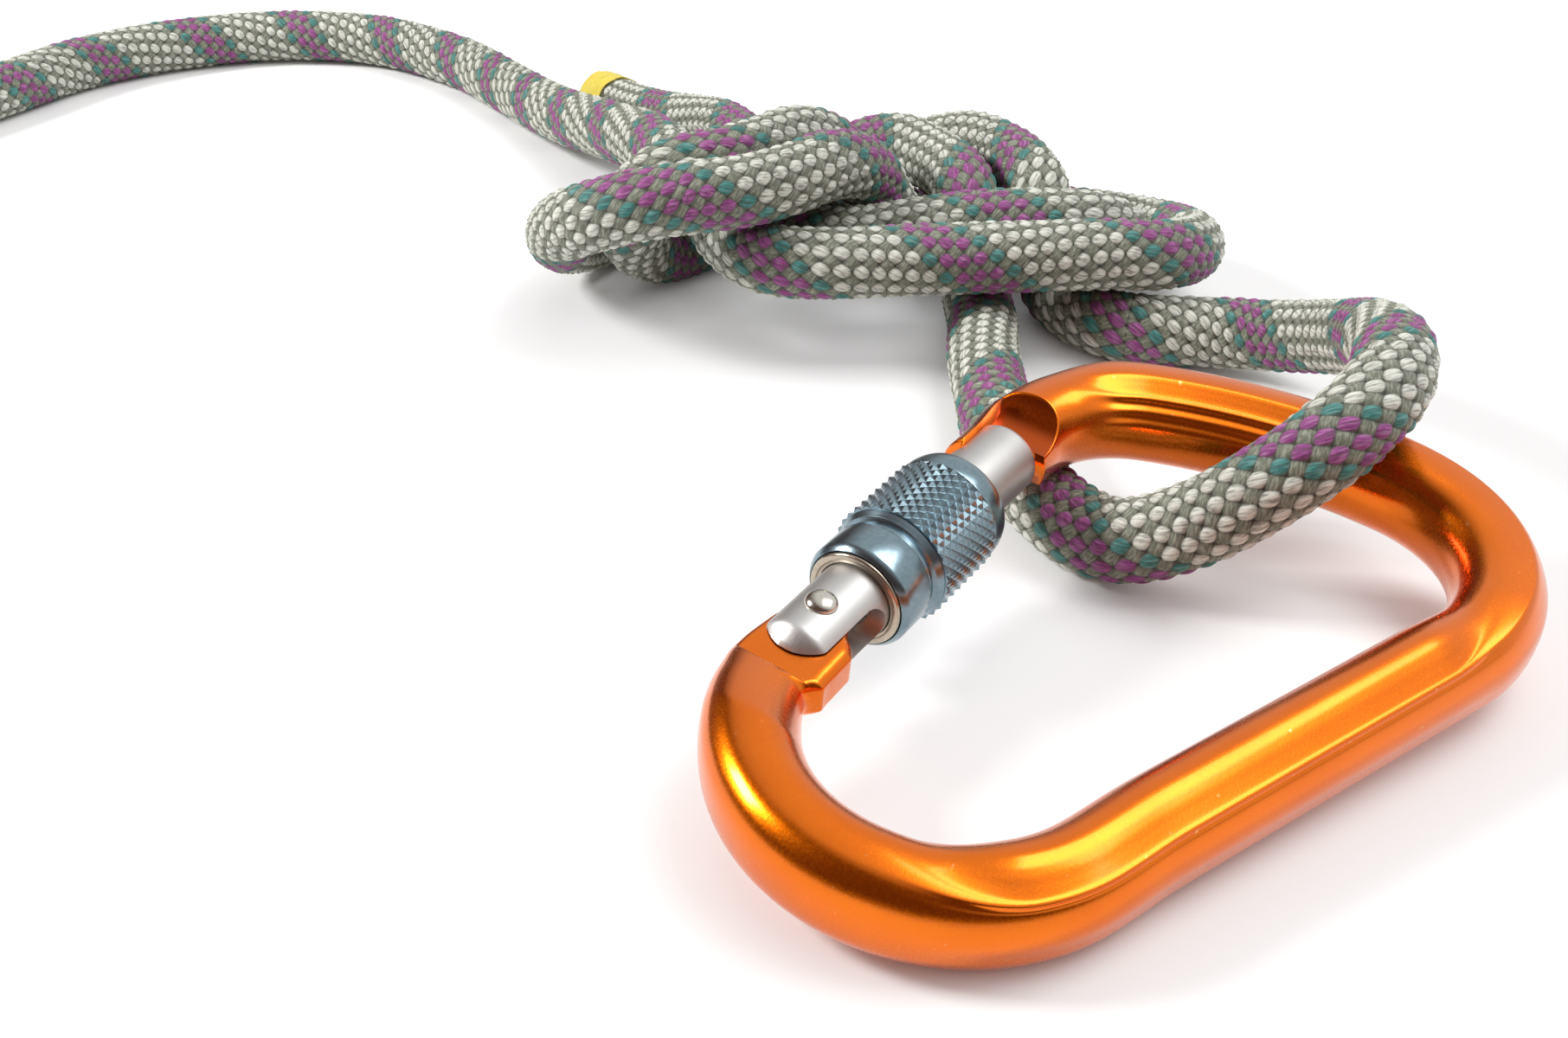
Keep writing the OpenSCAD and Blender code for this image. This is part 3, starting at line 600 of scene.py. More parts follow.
place, head, up, side = along_rope(np.array([0.0, rope_at[-1]]))
wraps = {"tail_wrap": wrap_end("tail_tape", place[1], head[1], up[1]),
         "end_wrap": wrap_end("end_tape", place[0], -head[0], up[0])}
tape, flow = new_material("yellow_tape")
spot = flow.make("TexCoord", out="Object")
smear = flow.noise(spot, 420.0, 4.0)
fine = flow.noise(spot, 2200.0, 2.0)
film = flow.mix(smear, linear(196, 176, 62), linear(232, 214, 96))
film = flow.mix(((smear - 0.6) * 6.0).clip() * 0.6, film, linear(150, 132, 60))
bump = flow.make("Bump", None, {"Strength": 0.3, "Distance": 0.0002, "Height": fine + smear})
close_material(flow, flow.make("BsdfPrincipled", None, {
    "Base Color": film, "Roughness": 0.4 + fine * 0.2, "Normal": bump}))
for node, piece in wraps.items():
    piece.data.materials.append(tape)
    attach(piece, "frame")
    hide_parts(node)


# Strap round the coil: black woven webbing, 12 mm wide, laid round the four strands.
# A ring with rounded corners carries the section, and ribs of the weave stand on both faces.
STRAP_HALF, STRAP_LOW, STRAP_HIGH = 15.1, 1.0, 24.2
STRAP_MID = SHIFT[:2] + (COIL_R - COIL_PITCH * 1.25, RUN_POINTS[0, 1] + COIL_R)
STRAP_BEND, STRAP_T, STRAP_W = 5.6, 0.95, 12.0
STRAP_ROWS, STRAP_COLUMNS, CORNER_STEPS = 420, 25, 14
RIB_HIGH, RIBS_ALONG, RIBS_ACROSS = 0.09, 74, 13
STRAP_EDGE_THIN, STRAP_CLEAR = 0.25, 0.03
quarter = np.linspace(0, 0.5 * np.pi, CORNER_STEPS)
corner_x = np.array((1, -1, -1, 1))[:, None] * (STRAP_HALF - STRAP_BEND)
corner_z = np.array((1, 1, -1, -1))[:, None] * (0.5 * (STRAP_HIGH - STRAP_LOW) - STRAP_BEND)
turn = quarter + 0.5 * np.pi * np.arange(4)[:, None]
around_x = (corner_x + STRAP_BEND * np.cos(turn)).ravel()
around_z = (corner_z + STRAP_BEND * np.sin(turn)).ravel()
bend = turn.ravel()
ring = np.stack([around_x, around_z, np.cos(bend), np.sin(bend)], 1)
ring = np.vstack([ring, ring[:1]])
run = np.concatenate([[0.0], np.cumsum(np.linalg.norm(np.diff(ring[:, :2], axis=0), axis=1))])
rows = np.linspace(0, run[-1], STRAP_ROWS, endpoint=False)
ring = np.stack([np.interp(rows, run, ring[:, k]) for k in range(4)], 1)
across = np.concatenate([np.linspace(-1, 1, STRAP_COLUMNS), np.linspace(1, -1, STRAP_COLUMNS)])
outer = np.concatenate([np.ones(STRAP_COLUMNS), np.zeros(STRAP_COLUMNS)])
rib_along = np.sin(2 * np.pi * rows / run[-1] * RIBS_ALONG)[:, None]
rib = RIB_HIGH * rib_along * np.cos(RIBS_ACROSS * np.pi * across)
cloth_t = outer * STRAP_T * (1 - STRAP_EDGE_THIN * np.abs(across) ** 6)
thick = cloth_t + rib * (2 * outer - 1) * 0.5 + STRAP_CLEAR
strap_x = STRAP_MID[0] + ring[:, :1] + ring[:, 2:3] * thick
strap_y = np.broadcast_to(STRAP_MID[1] + across * STRAP_W / 2, thick.shape)
strap_z = 0.5 * (STRAP_HIGH + STRAP_LOW) + ring[:, 1:2] + ring[:, 3:] * thick
strap = np.stack([strap_x, strap_y, strap_z], -1) * MM
strap_piece = put_mesh("woven_strap", strap.reshape(-1, 3), [grid_faces(*thick.shape, closed=True)])
webbing, flow = new_material("black_webbing")
spot = flow.make("TexCoord", out="Object")
thread = flow.noise(spot, 1600.0, 2.0)
dust = flow.noise(spot, 160.0, 3.0)
cloth = flow.mix(thread, linear(22, 22, 24), linear(58, 58, 60))
cloth = flow.mix(dust * 0.2, cloth, linear(96, 94, 90))
bump = flow.make("Bump", None, {"Strength": 0.4, "Distance": 0.0002, "Height": thread})
close_material(flow, flow.make("BsdfPrincipled", None, {
    "Base Color": cloth, "Roughness": 0.75, "Normal": bump}))
strap_piece.data.materials.append(webbing)
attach(strap_piece, "frame")
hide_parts("coil_tie")


# Frame: one forged alloy bar bent into a pear, dyed orange. Its hinge end is milled to a flat
# tang, and its nose is scalloped to a tongue, with a lip along the outer side of the gate.
HINGE_AT = np.array([-20.9, 28.6, 12.75])
LEAN, RISE = np.radians((8.0, 4.75))
TANG_FLAT, TANG_H = 3.2, 2.5
# The bar's middle line, walked from the tang's flat: hinge, small end, reverse bend, spine, wide
# end, top bar, nose curve and nose. The zeros at SPINE and CURVE are solved further down.
SPINE, TOP_BAR, CURVE = 3, 5, 6
TOP_BAR_LEN, CURVE_END_P = 32.2, 46.0
bar_turns = np.array((0.0, 170.0, -9.5, 0.0, 107.5, 0.0, 0.0, 0.0))
bar_radii = np.array((0.0, 20.5, 26.0, 0.0, 19.5, 67.0, 0.0, 0.0))
bar_straights = np.array((9.7, 0.0, 0.0, 0.0, 0.0, 0.0, 0.0, 3.6))
BEND_SOFT, BEND_FROM_TO = 5.0, (58.0, 66.0, 79.0, 87.0)
# Half widths of the tang, outwards and inwards, at places along the gate
TANG_P = (-9.0, -6.0, -2.6, -1.4, 0.0, 3.2)
TANG_OUT = (5.1, 4.9, 4.5, 4.2, 3.6, 2.0)
TANG_IN = (6.1, 6.1, 6.0, 5.2, 3.8, 2.0)
TANG_SQUARE, SCOOP_TO, SCOOP_OVER = 4.9, 24.0, 11.0
SHOULDER_P, SHOULDER_H, TAPER_SLOPE, FLARE, MILL = -9.0, 3.7, 0.26, 2.6, 1.3
STEP_UP, STEP_OVER = 4.0, 0.7
SCALLOP_P, SCALLOP_R, TONGUE_H = 42.5, 6.3, 2.2
CUT_EDGE, LIP_CUT_FROM = 0.3, 0.45
LIP_FROM, LIP_TO, LIP_R, LIP_UNDER, LIP_EDGE = 36.0, 46.0, 5.6, 3.2, 0.4
LIP_RISE_FROM, LIP_RISE_OVER, LIP_RISE = 39.6, 5.0, 0.2
BAR_HALF, BAR_TOP = 5.4, 6.0
# Lengths along the bar where the hinge end stops and where the nose begins, and how softly
# the cut at each of them meets the bar
HINGE_TO, NOSE_FROM, HINGE_SOFT, NOSE_SOFT = 40.0, 195.0, 0.3, 0.2
LINE_STEPS, SOFT_STEPS, ARC_STEPS = 20001, 41, 5
# Half sections from the outer side over the top to the inner side: offset outwards, and height
ROUND_SECTION = ((5.4, 0), (5.32, 1.5), (5.05, 2.8), (4.5, 3.9), (3.9, 4.6), (3.3, 5.1), (2.7, 5.45),
                 (2.0, 5.7), (0.9, 5.92), (-0.3, 6), (-1.4, 5.85), (-2.4, 5.45), (-3.3, 4.85),
                 (-4.1, 4.0), (-4.75, 2.95), (-5.2, 1.6), (-5.4, 0))
SPINE_SECTION = ((5.6, 0), (5.58, 1.1), (5.35, 2.1), (4.95, 3.0), (4.55, 3.66), (4.28, 3.9),
                 (4.2, 4.15), (4.22, 4.42), (3.95, 4.62), (3.6, 4.72), (2.6, 5.25), (1.5, 5.85),
                 (0.4, 6.3), (-1.0, 6.4), (-2.9, 5.65), (-4.6, 3.7), (-5.6, 0))
WIDE_SECTION = ((5.4, 0), (5.36, 1.2), (5.15, 2.3), (4.65, 3.4), (4.1, 4.3), (3.5, 5.1), (2.9, 5.6),
                (2.2, 5.72), (0.8, 5.82), (-0.6, 5.8), (-1.6, 5.65), (-2.5, 5.3), (-3.4, 4.7),
                (-4.2, 3.85), (-4.8, 2.8), (-5.2, 1.5), (-5.4, 0))
TOP_SECTION = ((5.4, 0), (5.4, 1.6), (5.3, 3.0), (5.05, 4.3), (4.6, 5.1), (3.7, 5.55), (2.5, 5.85),
               (1.3, 6), (0.3, 5.95), (-0.7, 5.4), (-1.8, 4.75), (-2.6, 4.45), (-3.0, 3.75),
               (-3.85, 3.25), (-4.3, 2.5), (-5.1, 1.7), (-5.4, 0))
SECTIONS = np.array((ROUND_SECTION, ROUND_SECTION, SPINE_SECTION, SPINE_SECTION, WIDE_SECTION,
                     WIDE_SECTION, TOP_SECTION, TOP_SECTION, ROUND_SECTION, ROUND_SECTION))
# Lengths along the bar at which these sections stand
SECTION_AT = np.array((0, 45, 60, 118, 134, 156, 172, 198, 207, 219))


# The turns add up to a full one, and the spine's length and the nose curve's radius close the
# ring on the gate. All four are rounded to thousandths.
bar_turns[TOP_BAR] = np.degrees(TOP_BAR_LEN / bar_radii[TOP_BAR])
bar_turns[CURVE] = 360.0 - bar_turns.sum()
after = np.pi + np.radians(np.cumsum(bar_turns))
before = after - np.radians(bar_turns)
onward = np.stack([np.cos(before), np.sin(before)])
curved = np.stack([np.sin(after) - np.sin(before), np.cos(before) - np.cos(after)])
curved = curved * np.sign(bar_turns)
walked = (onward * bar_straights + curved * bar_radii)[:, :CURVE].sum(1)
missing = np.array([CURVE_END_P - TANG_FLAT, 0.0]) - walked
solved = np.linalg.solve(np.stack([onward[:, SPINE], curved[:, CURVE]], 1), missing)
bar_straights[SPINE], bar_radii[CURVE] = np.round(solved, 3)
bar_turns = np.radians(np.round(bar_turns, 3))


def laid(points):
    """Turns points in the carabiner's own axes, in mm, into the object's, in metres."""
    c, s = np.cos(LEAN), np.sin(LEAN)
    lean = np.array([(1, 0, 0), (0, c, -s), (0, s, c)])
    c, s = np.cos(RISE), np.sin(RISE)
    rise = np.array([(c, 0, -s), (0, 1, 0), (s, 0, c)])
    return (HINGE_AT + points @ (rise @ lean).T) * MM


def soft_least(a, b, soft):
    """The lesser of two values, rounded over where they cross."""
    share = np.clip(0.5 + 0.5 * (b - a) / soft, 0.0, 1.0)
    return b * (1 - share) + a * share - soft * share * (1 - share)


def bar_ring(s):
    """Points round the bar at lengths s: the blended section, smoothed, set square to the middle
    line, then cut down in height at the hinge and at the nose. Also where the nose is cut."""
    ends = np.concatenate([[0.0], np.cumsum(bar_straights + bar_radii * np.abs(bar_turns))])
    fine = np.linspace(0.0, ends[-1], LINE_STEPS)
    spread = np.linspace(-BEND_SOFT, BEND_SOFT, SOFT_STEPS)[:, None]
    head = np.pi + np.interp(fine + spread * np.interp(fine, BEND_FROM_TO, (0, 1, 1, 0)),
                             ends, np.concatenate([[0.0], np.cumsum(bar_turns)])).mean(0)
    step = np.stack([np.cos(head), np.sin(head)], 1) * (fine[1] - fine[0])
    line = np.array([TANG_FLAT, 0.0]) + np.cumsum(step, 0) - step * 0.5
    key = np.interp(s, SECTION_AT, np.arange(len(SECTION_AT)))
    whole = np.minimum(key.astype(int), len(SECTION_AT) - 2)
    share = (key - whole)[:, None, None]
    share = share * share * (3 - 2 * share)
    half = SECTIONS[whole] * (1 - share) + SECTIONS[whole + 1] * share
    under = np.array(ROUND_SECTION[-2:0:-1]) * (1, -1)
    outline = np.concatenate([half, np.broadcast_to(under, (len(s), *under.shape))], 1)
    a, b, c, d = (np.roll(outline, 1 - k, 1)[:, :, None] for k in range(4))
    t = (np.arange(ARC_STEPS) / ARC_STEPS)[:, None]
    bent = (2 * a - 5 * b + 4 * c - d) * t ** 2 + (3 * b - a - 3 * c + d) * t ** 3
    outline = (0.5 * (2 * b + (c - a) * t + bent)).reshape(len(s), -1, 2)
    heading = np.interp(s, fine, head)[:, None]
    w, n = outline[..., 0], outline[..., 1]
    at = s[:, None]
    middle_p = np.interp(s, fine, line[:, 0])[:, None]
    round_out = np.interp(middle_p, TANG_P, TANG_OUT)
    round_in = np.interp(middle_p, TANG_P, TANG_IN)
    square = np.clip(np.abs(w) / TANG_SQUARE, 0.0, 1.0) * np.sign(w)
    tang = square * np.where(w > 0, round_out, round_in)
    scoop = np.clip((SCOOP_TO - at) / SCOOP_OVER, 0.0, 1.0) ** 2 * np.clip(-w / BAR_HALF, 0.0, 1.0)
    flare = np.clip((middle_p - SHOULDER_P) / FLARE + 1.0, 0.0, 1.0) * (at < HINGE_TO)
    flare = flare * flare * (3 - 2 * flare)
    w = (w + scoop) * (1 - flare) + tang * flare
    p = middle_p + w * np.sin(heading)
    q = np.interp(s, fine, line[:, 1])[:, None] - w * np.cos(heading)
    back = SHOULDER_P - p - MILL * np.clip(1.0 - (w / BAR_HALF) ** 2, 0.0, 1.0)
    shoulder = SHOULDER_H + TAPER_SLOPE * np.maximum(back, 0.0)
    taper = np.abs(n) * np.minimum(shoulder / BAR_TOP, 1.0)
    tang_top = TANG_H + STEP_UP * np.clip(back / STEP_OVER, 0.0, 1.0)
    hinge = soft_least(taper, tang_top, HINGE_SOFT)
    reach = np.clip(p - SCALLOP_P, 0.0, SCALLOP_R)
    scallop = TONGUE_H + SCALLOP_R - np.sqrt(SCALLOP_R ** 2 - reach ** 2)
    nose = soft_least(np.abs(n), scallop, NOSE_SOFT)
    height = np.where(at < HINGE_TO, hinge, np.where(at > NOSE_FROM, nose, np.abs(n)))
    cut = np.clip((np.abs(n) - height) / CUT_EDGE, 0.0, 1.0) * (at > NOSE_FROM)
    return np.stack([p, q, np.sign(n) * height], -1), cut


# Places along the bar, close together where its height changes fast
bar_at = np.concatenate([np.arange(0.0, 11.0, 0.35), np.arange(11.0, 14.0, 0.1),
                         np.arange(14.0, 22.0, 0.4), np.arange(22.0, 200.0, 0.75),
                         np.arange(200.0, 217.8, 0.14), [217.82]])
bar, bar_cut = bar_ring(bar_at)
lip_p = np.concatenate([LIP_FROM + np.linspace(0, LIP_EDGE, 5), np.linspace(37, LIP_TO, 14)])
lip_edge = 0.35 * (1 - np.clip((lip_p - LIP_FROM) / LIP_EDGE, 0, 1)) ** 2
lip_turn = np.linspace(-1, 1, 33) * np.arccos(LIP_UNDER / LIP_R)
lip_r = (LIP_R - lip_edge)[:, None] * (1 - 0.02 * np.abs(lip_turn / lip_turn[0]) ** 16)
rise = np.clip((lip_p - LIP_RISE_FROM) / LIP_RISE_OVER, 0.0, 1.0)[:, None]
lip_n = lip_r * np.sin(lip_turn) * (1 + LIP_RISE * rise * rise * (3 - 2 * rise))
lip_arc = np.stack(np.broadcast_arrays(lip_p[:, None], lip_r * np.cos(lip_turn), lip_n), -1)
lip_arc[..., 1] = np.maximum(lip_arc[..., 1], LIP_UNDER)
lip_cut = np.clip((lip_p - LIP_RISE_FROM) / CUT_EDGE, 0.0, 1.0)[:, None]
lip_cut = lip_cut * (lip_turn > LIP_CUT_FROM)
frame_points = laid(np.vstack([bar.reshape(-1, 3), lip_arc.reshape(-1, 3)]))
bar_faces = capped_faces(*bar.shape[:2], flip=True)
lip_faces = capped_faces(*lip_arc.shape[:2], first=bar.shape[0] * bar.shape[1])
frame_piece = put_mesh("forged_frame", frame_points, bar_faces + lip_faces)
# How far each point has been cut down at the nose, for the painted shade that darkens the scallop
cut_value = frame_piece.data.attributes.new("Cut", "FLOAT", "POINT")
cut_value.data.foreach_set("value", np.concatenate([bar_cut.ravel(), lip_cut.ravel()]))
orange, flow = new_material("orange_anodised")
place = flow.make("TexCoord", out="Object")
cloud = flow.noise(place, 140.0, 3.0)
grain = flow.noise(place, 3000.0, 2.0)
nick = flow.noise(place, 900.0, 1.0)
dye_and_shade = flow.mix(cloud, linear(226, 104, 2), linear(240, 120, 6))
dye_and_shade = flow.mix(((nick - 0.74) * 14.0).clip() * 0.5, dye_and_shade, linear(244, 190, 130))
cut = flow.make("Attribute", {"attribute_name": "Cut"}, out="Fac")
# Painted shade: where the nose is cut down, the orange turns a darker red-brown
dye_and_shade = flow.mix(cut, dye_and_shade, linear(180, 72, 4))
bump = flow.make("Bump", None, {"Strength": 0.06, "Distance": 0.0001, "Height": grain + cloud})
close_material(flow, flow.make("BsdfPrincipled", None, {
    "Base Color": dye_and_shade, "Metallic": 1.0, "Roughness": 0.2 + grain * 0.12, "Normal": bump,
    "Coat Weight": 0.5, "Coat Roughness": 0.14, "Coat IOR": 1.4}))
frame_piece.data.materials.append(orange)
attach(frame_piece, "frame")
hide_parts("carabiner_body")


# Hinge rivet: a bright steel pin through tang and gate, its two ends closed to low domes.
# Each dome stands on a short straight rim.
RIVET_R, RIVET_PIN_R, RIVET_BASE, RIVET_RIM, RIVET_TOP = 1.9, 1.6, 4.2, 0.35, 5.65
RIVET_SIDES = 48
dome_turn = np.linspace(0.03, 0.5 * np.pi, 14)
dome_from = RIVET_BASE + RIVET_RIM
half_r = np.concatenate([RIVET_R * np.sin(dome_turn), [RIVET_R, RIVET_PIN_R]])
half_n = np.concatenate([dome_from + (RIVET_TOP - dome_from) * np.cos(dome_turn),
                         [RIVET_BASE, RIVET_BASE]])
rivet_r = np.concatenate([half_r, half_r[::-1]])
rivet_n = np.concatenate([half_n, -half_n[::-1]])
turn = np.linspace(0, 2 * np.pi, RIVET_SIDES, endpoint=False)
rivet = np.stack(np.broadcast_arrays(rivet_r[:, None] * np.cos(turn), rivet_r[:, None] * np.sin(turn),
                                     rivet_n[:, None]), -1)
rivet_piece = put_mesh("domed_rivet", laid(rivet.reshape(-1, 3)),
                       capped_faces(*rivet.shape[:2], flip=True))
steel, flow = new_material("bright_steel")
place = flow.make("TexCoord", out="Object")
grain = flow.noise(place, 2400.0, 2.0)
tone = flow.mix(grain, linear(196, 190, 178), linear(216, 212, 202))
close_material(flow, flow.make("BsdfPrincipled", None, {
    "Base Color": tone, "Metallic": 1.0, "Roughness": 0.14 + grain * 0.14}))
rivet_piece.data.materials.append(steel)
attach(rivet_piece, "frame")
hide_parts("hinge_rivet")


def lathe(p, r, sides):
    """Points at places p along the gate and radii r, turned round its axis."""
    turn = np.linspace(0, 2 * np.pi, sides, endpoint=False)
    return np.stack(np.broadcast_arrays(p, r * np.cos(turn), r * np.sin(turn)), -1)


# Screw sleeve: a turned alloy nut, dyed blue-grey. A bevelled collar takes the ring at the hinge
# end, a groove parts it from the diamond-knurled grip, and a plain rim ends it.
KNURLS, KNURL_STEP = 32, 0.74
KNURL_FROM, KNURL_ROWS = 15.3, 15
KNURL_LOW, KNURL_HIGH = 7.36, 7.7
# Profiles before and after the knurl: place along the gate, and radius
sleeve_front = np.array([
    (9.4, 6.05), (7.75, 6.05), (7.6, 6.18), (7.7, 6.3), (8.35, 6.74), (8.55, 6.8), (12.75, 6.8),
    (13.0, 6.72), (13.15, 6.5), (13.25, 6.36), (14.05, 6.36), (14.15, 6.55), (14.3, 6.85),
    (15.1, 7.3), (15.25, 7.25)])
sleeve_back = np.array([
    (26.5, 7.3), (26.6, 7.42), (26.8, 7.46), (28.5, 7.32), (29.4, 7.1), (29.85, 6.9), (30.0, 6.6),
    (30.0, 6.2), (29.85, 6.02), (25.0, 6.0), (24.95, 4.78), (9.4, 4.78)])
rows = np.arange(KNURL_ROWS + 1)[:, None]
columns = np.arange(2 * KNURLS)[None, :]
knurl_r = np.where((rows + columns) % 2 == 0, KNURL_HIGH, KNURL_LOW)
knurl_p = np.broadcast_to(KNURL_FROM + KNURL_STEP * rows, knurl_r.shape)
plain = np.ones((1, 2 * KNURLS))
sleeve_p = np.vstack([sleeve_front[:, :1] * plain, knurl_p, sleeve_back[:, :1] * plain])
sleeve_r = np.vstack([sleeve_front[:, 1:] * plain, knurl_r, sleeve_back[:, 1:] * plain])
sleeve = lathe(sleeve_p, sleeve_r, 2 * KNURLS)
quads = grid_faces(*sleeve_p.shape, closed=True).reshape(-1, 2 * KNURLS, 4)
first, last = len(sleeve_front), len(sleeve_front) + KNURL_ROWS
smooth_quads = np.vstack([quads[:first].reshape(-1, 4), quads[last:].reshape(-1, 4)])
cells = quads[first:last]
even = ((rows[:-1] + columns) % 2 == 0)[..., None]
split_one = np.where(even, cells[..., [0, 1, 3]], cells[..., [0, 1, 2]]).reshape(-1, 3)
split_two = np.where(even, cells[..., [1, 2, 3]], cells[..., [0, 2, 3]]).reshape(-1, 3)
sleeve_piece = put_mesh("knurled_sleeve", laid(sleeve.reshape(-1, 3)),
                        [smooth_quads, split_one, split_two])
sleeve_piece.data.set_sharp_from_angle(angle=np.radians(28.0))
blue, flow = new_material("blue_grey_anodised")
place = flow.make("TexCoord", out="Object")
# Turning lines run round the sleeve, spaced by the length along the gate in millimetres
way = tuple(laid(np.array([(1.0, 0.0, 0.0)]))[0] - laid(np.zeros((1, 3)))[0])
length = flow.make("VectorMath", {"operation": "DOT_PRODUCT"}, {0: place, 1: way}, out=1)
length = length * MM ** -2
lines = flow.make("TexNoise", {"noise_dimensions": "1D"}, {"W": length, "Scale": 7.0, "Detail": 2.0})
grain = flow.noise(place, 1800.0, 2.0)
tone = flow.mix(grain, linear(112, 134, 145), linear(142, 160, 168))
bump = flow.make("Bump", None, {"Strength": 0.08, "Distance": 0.00005, "Height": lines})
close_material(flow, flow.make("BsdfPrincipled", None, {
    "Base Color": tone, "Metallic": 1.0, "Roughness": 0.16 + lines * 0.14, "Normal": bump}))
sleeve_piece.data.materials.append(blue)
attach(sleeve_piece, "sleeve")
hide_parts("locking_sleeve")


# Sleeve ring: a rolled steel band with a rounded edge and an inner step, held in the collar.
# It slides along the gate with the sleeve and doesn't turn.
RING_SIDES = 72
ring_profile = np.array([
    (9.4, 4.77), (7.5, 4.77), (7.36, 4.85), (7.36, 5.12), (7.3, 5.2), (7.2, 5.28), (7.2, 5.55),
    (7.22, 5.72), (7.3, 5.88), (7.42, 5.97), (7.6, 6.0), (9.4, 6.0)])
ring = lathe(ring_profile[:, :1], ring_profile[:, 1:], RING_SIDES)
ring_piece = put_mesh("stepped_ring", laid(ring.reshape(-1, 3)),
                      [grid_faces(len(ring), RING_SIDES, closed=True)])
ring_piece.data.set_sharp_from_angle(angle=np.radians(40.0))
warm, flow = new_material("warm_steel")
place = flow.make("TexCoord", out="Object")
grain = flow.noise(place, 1500.0, 3.0)
tone = flow.mix(grain, linear(168, 154, 136), linear(198, 188, 172))
close_material(flow, flow.make("BsdfPrincipled", None, {
    "Base Color": tone, "Metallic": 1.0, "Roughness": 0.16 + grain * 0.16}))
ring_piece.data.materials.append(warm)
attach(ring_piece, "sleeve_carrier")
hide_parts("sleeve_ring")


# Gate: a turned alloy rod, tumbled to an even satin. Its hinge end is rounded over and slotted for
# the tang, it is bored for the spring, and a flat at the nose end passes under the lip.
GATE_R, GATE_SIDES, BORE_SIDES = 4.7, 96, 48
SLOT_H, SLOT_TO, SLOT_PAST, SLOT_SIDE = 2.7, 3.9, -12.0, 8.0
BORE_R, BORE_FROM, BORE_END = 2.5, 2.0, 30.0
LAP_FROM, LAP_Q, LAP_PAST, LAP_SIDE = 35.4, 2.9, 50.0, 9.0
gate_profile = np.array([
    (-7.0, 1.6), (-6.95, 2.3), (-6.75, 2.85), (-6.3, 3.4), (-5.75, 3.93), (-5.3, 4.3), (-5.0, 4.5),
    (-4.7, 4.63), (-4.35, 4.69), (-4.0, GATE_R), (0, GATE_R), (10, GATE_R), (20, GATE_R),
    (30, GATE_R), (41.2, GATE_R), (41.6, 4.63), (41.88, 4.45), (42.0, 4.15)])
gate = lathe(gate_profile[:, :1], gate_profile[:, 1:], GATE_SIDES)
gate_piece = put_mesh("slotted_gate", laid(gate.reshape(-1, 3)), capped_faces(*gate.shape[:2]))


def cut_prism(piece, near, far):
    """Cuts the prism between two matching outlines, in the carabiner's own axes, from a piece."""
    ring = np.arange(len(near))
    ahead = np.roll(ring, -1)
    walls = np.stack([ring, ahead, len(near) + ahead, len(near) + ring], -1)
    cutter = put_mesh("cutter", laid(np.vstack([near, far])), [
        walls, np.stack([ring[::-1]]), np.stack([len(near) + ring])])
    cut = piece.modifiers.new("cut", "BOOLEAN")
    cut.operation = "DIFFERENCE"
    cut.solver = "EXACT"
    cut.object = cutter
    solid = piece.evaluated_get(bpy.context.evaluated_depsgraph_get())
    piece.data = bpy.data.meshes.new_from_object(solid)
    piece.modifiers.clear()
    bpy.data.objects.remove(cutter)


def outline_at(axis, value, a, b):
    """Points of an outline in two axes, set at one value of the third."""
    points = np.stack([a, b], -1)
    return np.insert(points, axis, value, axis=1)


half_turn = np.linspace(-0.5 * np.pi, 0.5 * np.pi, 33)
slot_p = np.concatenate([[SLOT_PAST], SLOT_TO + SLOT_H * np.cos(half_turn), [SLOT_PAST]])
slot_n = np.concatenate([[-SLOT_H], SLOT_H * np.sin(half_turn), [SLOT_H]])
cut_prism(gate_piece, outline_at(1, SLOT_SIDE, slot_p, slot_n),
          outline_at(1, -SLOT_SIDE, slot_p, slot_n))
turn = np.linspace(0, 2 * np.pi, BORE_SIDES, endpoint=False)
bore_q, bore_n = BORE_R * np.cos(turn), BORE_R * np.sin(turn)
cut_prism(gate_piece, outline_at(0, BORE_FROM, bore_q, bore_n),
          outline_at(0, BORE_END, bore_q, bore_n))
lap_p = np.array((LAP_FROM, LAP_PAST, LAP_PAST, LAP_FROM))
lap_q = np.array((LAP_Q, LAP_Q, LAP_SIDE, LAP_SIDE))
cut_prism(gate_piece, outline_at(2, -LAP_SIDE, lap_p, lap_q),
          outline_at(2, LAP_SIDE, lap_p, lap_q))
gate_piece.data.set_sharp_from_angle(angle=np.radians(35.0))
satin, flow = new_material("satin_alloy")
place = flow.make("TexCoord", out="Object")
cloud = flow.noise(place, 300.0, 4.0)
grain = flow.noise(place, 4200.0, 2.0)
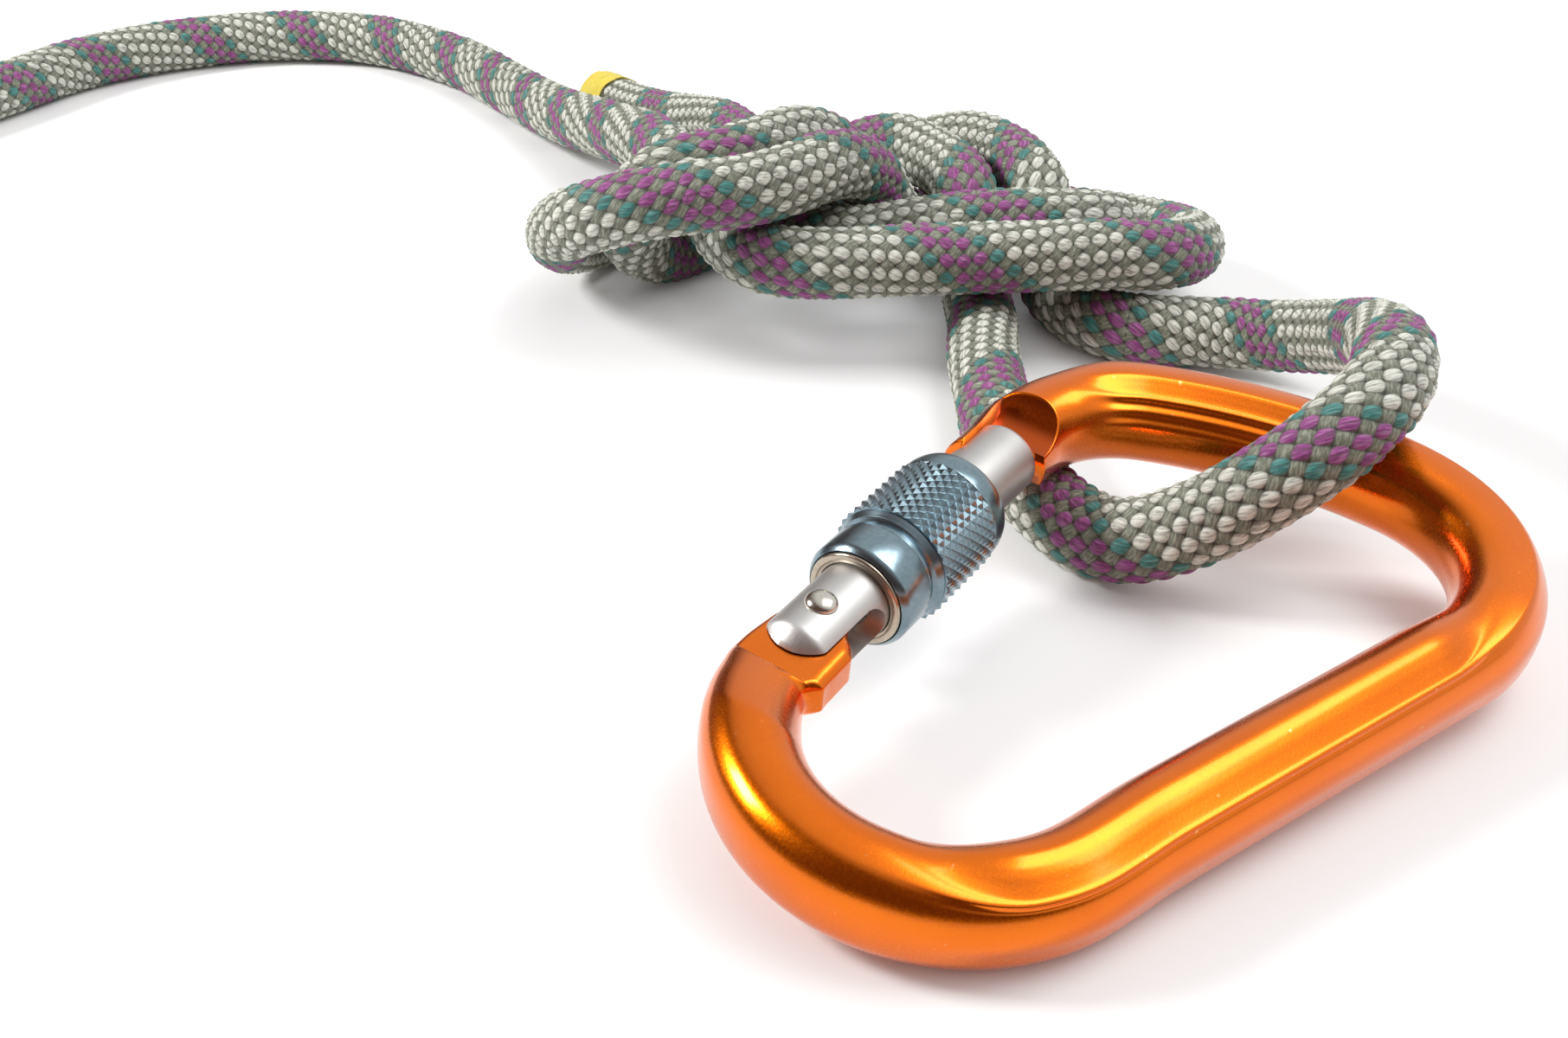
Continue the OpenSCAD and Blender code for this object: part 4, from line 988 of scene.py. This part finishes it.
tone = flow.mix(cloud, linear(187, 186, 184), linear(203, 202, 200))
bump = flow.make("Bump", None, {"Strength": 0.1, "Distance": 0.00005, "Height": grain})
close_material(flow, flow.make("BsdfPrincipled", None, {
    "Base Color": tone, "Metallic": 1.0, "Roughness": 0.4 + grain * 0.14, "Normal": bump}))
gate_piece.data.materials.append(satin)
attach(gate_piece, "gate")
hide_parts("gate")


# Spring inside the gate: a wound steel wire between the plunger and the end of its bore.
SPRING_FROM, SPRING_TO, SPRING_R, SPRING_TURNS = 12.36, 29.45, 1.9, 9
WIRE_R, WIRE_SIDES, WIRE_STEPS = 0.35, 10, 24
wind = np.linspace(0.0, SPRING_TURNS * 2 * np.pi, SPRING_TURNS * WIRE_STEPS + 1)
radial = np.stack([np.zeros_like(wind), np.cos(wind), np.sin(wind)], 1)
climb = np.full_like(wind, (SPRING_TO - SPRING_FROM) / wind[-1])
onward = np.stack([climb, -SPRING_R * np.sin(wind), SPRING_R * np.cos(wind)], 1)
onward = onward / np.linalg.norm(onward, axis=1)[:, None]
middle = SPRING_R * radial
middle[:, 0] = np.linspace(SPRING_FROM, SPRING_TO, len(wind))
angle = (np.arange(WIRE_SIDES) * 2 * np.pi / WIRE_SIDES)[:, None]
wire = np.cos(angle) * radial[:, None] + np.sin(angle) * np.cross(onward, radial)[:, None]
wire = middle[:, None] + WIRE_R * wire
spring_piece = put_mesh("coil_spring", laid(wire.reshape(-1, 3)), capped_faces(*wire.shape[:2]))
spring_piece.data.materials.append(steel)
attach(spring_piece, "gate")
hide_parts("gate_spring")
bore_start, bore_end = laid(np.array([(0.0, 0.0, 0.0), (BORE_END, 0.0, 0.0)]))
bore_way = (bore_end - bore_start) / np.linalg.norm(bore_end - bore_start)
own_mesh(spring_piece)


# Plunger: a stepped steel pin that bears on the flat of the tang. Its shape comes from the CAD,
# and only its material is set here.
plunger_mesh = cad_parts["spring_plunger"].data
plunger_mesh.materials.clear()
plunger_mesh.materials.append(steel)
